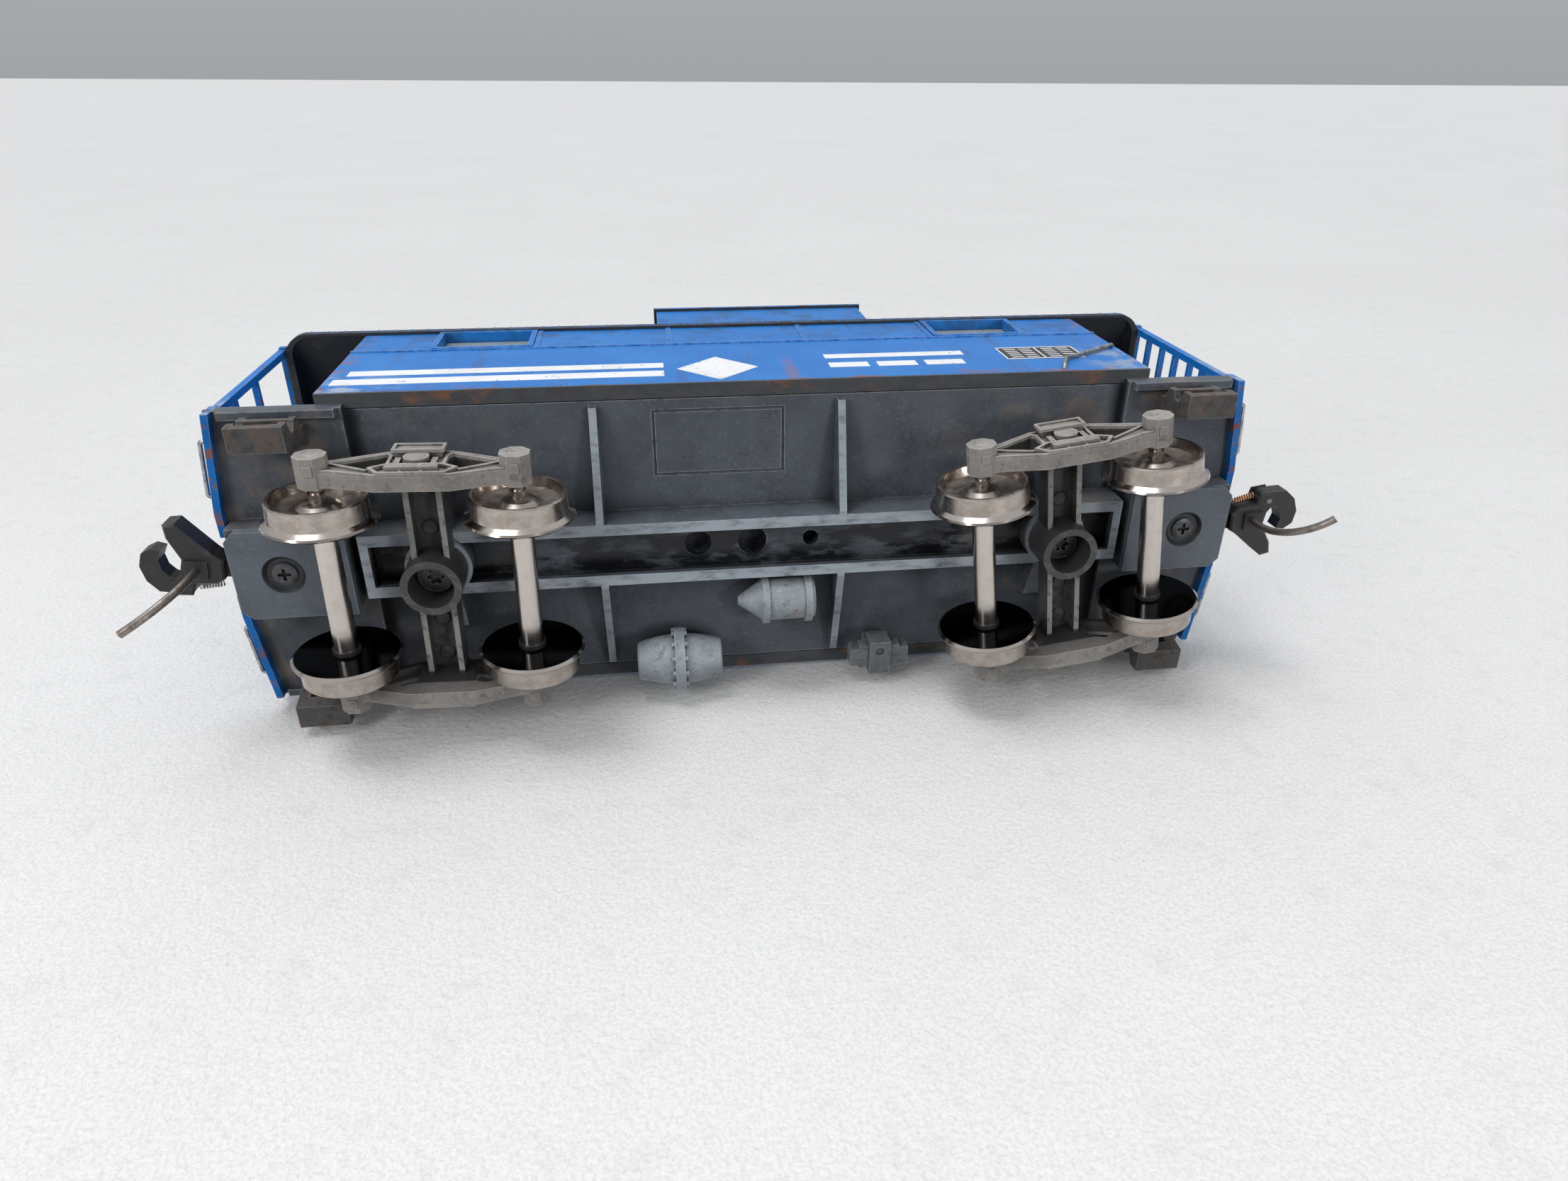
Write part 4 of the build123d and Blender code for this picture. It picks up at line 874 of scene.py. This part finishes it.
def truck_trim(end):
    """Raised rims, spring plank and ribs on both side frames, and pin marks on the bolster."""
    bm = bmesh.new()
    for side in (-1, 1):
        face = side * FRAME_FACE
        for hand in (-1, 1):
            rim(bm, [(hand * x, z) for x, z in OPENING], face, side, 0.3, 0.22)
        rim(bm, SPRING_SEAT, face, side, 0.3, 0.42)
        rim(bm, FRAME_OUTLINE, face, side, 0.26, 0.2)
        rim(bm, PLANK, side * (FRAME_FACE + 0.8), side, 0.3, 0.22)
        for x in (-JOURNAL_X, JOURNAL_X):
            rivet(bm, (x, side * JOURNAL_FACE, AXLE_HEIGHT), (0, side, 0), 0.55, 0.12, 8)
        for y in (5.2, 9.4):
            spin_profile(bm, PIN_MARK, (0, side * y, BOLSTER_UNDERSIDE), (0, 0, -1), 20)
    # the blocks come last, so that their chamfers leave the rest in the same order in every run
    for side in (-1, 1):
        middle = side * (FRAME_FACE + 0.2)
        for x in (-0.95, 0.95):
            block(bm, (x - 0.15, middle - 0.25, 3.1), (x + 0.15, middle + 0.25, 5.3), 0.05)
        for x in (-JOURNAL_X, JOURNAL_X):
            for z in (AXLE_HEIGHT - 1.375, AXLE_HEIGHT + 1.375):
                block(bm, (x - 0.45, middle - 0.5, z - 0.2), (x + 0.45, middle + 0.5, z + 0.2), 0.06)
    piece(f"truck_trim_{end}", bm, f"truck_{end}", truck_plastic[end], truck_matrix(end))


# --- coupler springs -------------------------------------------------------------------------
# The spring's two ends, from the coupler's pivot, and its shape.
COIL_START = Vector((6.35, -2.05, 10.83))
COIL_FINISH = Vector((8.55, -2.53, 10.83))
COIL_TURNS = 8
COIL_RADIUS = 0.33
COIL_WIRE_RADIUS = 0.085


def knuckle_coil(end, material):
    """A coil spring in the space of the plain tube."""
    bm = bmesh.new()
    along = COIL_FINISH - COIL_START
    side = along.cross(Vector((0, 0, 1))).normalized()
    up = side.cross(along).normalized()
    per_turn = 12
    count = COIL_TURNS * per_turn
    points = []
    for k in range(count + 1):
        angle = 2 * math.pi * k / per_turn
        ring = side * math.cos(angle) + up * math.sin(angle)
        points.append(COIL_START + along * k / count + ring * COIL_RADIUS)
    rod(bm, points, COIL_WIRE_RADIUS, 6)
    made = piece(f"knuckle_coil_{end}", bm, f"coupler_{end}", material, coupler_matrix(end),
                 sharp_angle=60)
    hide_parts(f"knuckle_spring_{end}")


body_rivets()
side_seams()
eave_rivets()
roof_battens()
side_markings()
for end in ENDS:
    truck_trim(end)
knuckle_coil("a", silver)
knuckle_coil("b", bronze)


# --- stage, lights and camera --------------------------------------------------------------
def floor_paint(name):
    """Plain pale stone, clear on its back so that it never hides the car."""
    paint = Paint(name, (0.69, 0.682, 0.672), 0.75)
    paint.tint(paint.patches(60, 0.3, 0.75, seed=149, detail=4), (0.73, 0.725, 0.715), 0.7)
    paint.tint(paint.patches(3.0, 0.5, 0.75, seed=151), (0.58, 0.575, 0.565), 0.4)
    paint.tint(paint.patches(0.35, 0.42, 0.62, seed=152, detail=3), (0.5, 0.49, 0.48), 0.35)
    paint.raise_by(paint.noise(0.8, 5, seed=157), 0.2)
    made = paint.done()
    clear = paint.node("ShaderNodeBsdfTransparent")
    behind = paint.node("ShaderNodeNewGeometry")
    mixed = paint.node("ShaderNodeMixShader")
    paint.join(behind.outputs["Backfacing"], mixed.inputs[0])
    paint.join(paint.shader.outputs[0], mixed.inputs[1])
    paint.join(clear.outputs[0], mixed.inputs[2])
    paint.join(mixed.outputs[0], paint.tree.nodes["Material Output"].inputs[0])
    return made


def floor(name, corners, seen_in_metal):
    """A floor that shows to the camera but puts no shade on the object's far side or underside."""
    mesh = bpy.data.meshes.new(name)
    mesh.from_pydata([Vector(corner) * MM for corner in corners], [], [(0, 1, 2, 3)])
    mesh.materials.append(floor_paint(name))
    made = bpy.data.objects.new(name, mesh)
    bpy.context.scene.collection.objects.link(made)
    made.visible_shadow = False
    made.visible_diffuse = False
    made.visible_glossy = seen_in_metal


REACH = 2500
TABLE_Y = cad_box[1][1] / MM + 0.05     # the car lies on its +Y side
GROUND_Z = -0.02
SQUARE = ((-REACH, -REACH), (REACH, -REACH), (REACH, REACH), (-REACH, REACH))
floor("table", [(u, TABLE_Y, v) for u, v in SQUARE], True)
floor("ground", [(u, v, GROUND_Z) for u, v in SQUARE], False)


def add_light(name, kind, energy, toward, place=(0, 0, 0)):
    """A light at a place, shining along toward; its data come back for what is left to set."""
    light = bpy.data.lights.new(name, kind)
    light.energy = energy
    made = bpy.data.objects.new(name, light)
    made.location = Vector(place) * MM
    made.rotation_euler = Vector(toward).to_track_quat("-Z", "Y").to_euler()
    bpy.context.scene.collection.objects.link(made)
    return light


def sun(name, toward, strength, spread_degrees):
    """An even, soft light from one side."""
    add_light(name, "SUN", strength, toward).angle = math.radians(spread_degrees)


def softbox(name, place, size, power):
    """A square lamp that looks at the car's middle."""
    light = add_light(name, "AREA", power, Vector((0, 0, 10)) - Vector(place), place)
    light.shape = "SQUARE"
    light.size = size * MM


sun("key_sun", (0.25, 1.0, -0.1), 1.32, 24)
sun("far_sun", (0.2, -1.0, -0.7), 0.9, 50)
softbox("window_box", (-260, -170, -200), 110, 0.42)
softbox("strip_box", (170, -60, -250), 60, 0.2)


def studio_world():
    """A pale room: bright towards -Y, and brighter above than below, where the camera is."""
    world = bpy.data.worlds.new("studio")
    world.use_nodes = True
    tree = world.node_tree
    found = tree.nodes.new("ShaderNodeTexCoord")
    split = tree.nodes.new("ShaderNodeSeparateXYZ")
    tree.links.new(found.outputs["Generated"], split.inputs[0])
    background = tree.nodes["Background"]
    background.inputs[0].default_value = (0.93, 0.96, 1.0, 1)
    total = None
    for axis, low, high, at_low, at_high in ((1, -0.9, 0.3, 0.62, 0.0), (2, -0.75, 0.4, 0.10, 0.3)):
        ramp = tree.nodes.new("ShaderNodeMapRange")
        ramp.interpolation_type = "SMOOTHSTEP"
        for k, value in enumerate((low, high, at_low, at_high)):
            ramp.inputs[k + 1].default_value = value
        tree.links.new(split.outputs[axis], ramp.inputs[0])
        if total is None:
            total = ramp.outputs[0]
        else:
            both = tree.nodes.new("ShaderNodeMath")
            tree.links.new(total, both.inputs[0])
            tree.links.new(ramp.outputs[0], both.inputs[1])
            total = both.outputs[0]
    tree.links.new(total, background.inputs[1])
    bpy.context.scene.world = world


studio_world()

# The camera's place and directions, in the same frame and in mm.
CAMERA_PLACE = Vector((-10.472, -47.783, -88.113))
CAMERA_FORWARD = Vector((0.11947, 0.47216, 0.87338))
CAMERA_UP = Vector((0.05540, -0.88148, 0.46897))
SENSOR = 36.0
LENS = 23.173       # for a picture as wide as the sensor

camera = bpy.data.objects.new("camera", bpy.data.cameras.new("camera"))
bpy.context.scene.collection.objects.link(camera)
camera.data.sensor_width = SENSOR
camera.data.lens = LENS
camera.data.clip_start = 0.005
camera.data.clip_end = 20
back = -CAMERA_FORWARD.normalized()
right = CAMERA_UP.cross(back).normalized()
up = back.cross(right)
camera.matrix_world = Matrix.Translation(CAMERA_PLACE * MM) @ Matrix((right, up, back)).transposed().to_4x4()
bpy.context.scene.camera = camera
bpy.context.scene.view_settings.view_transform = "Standard"
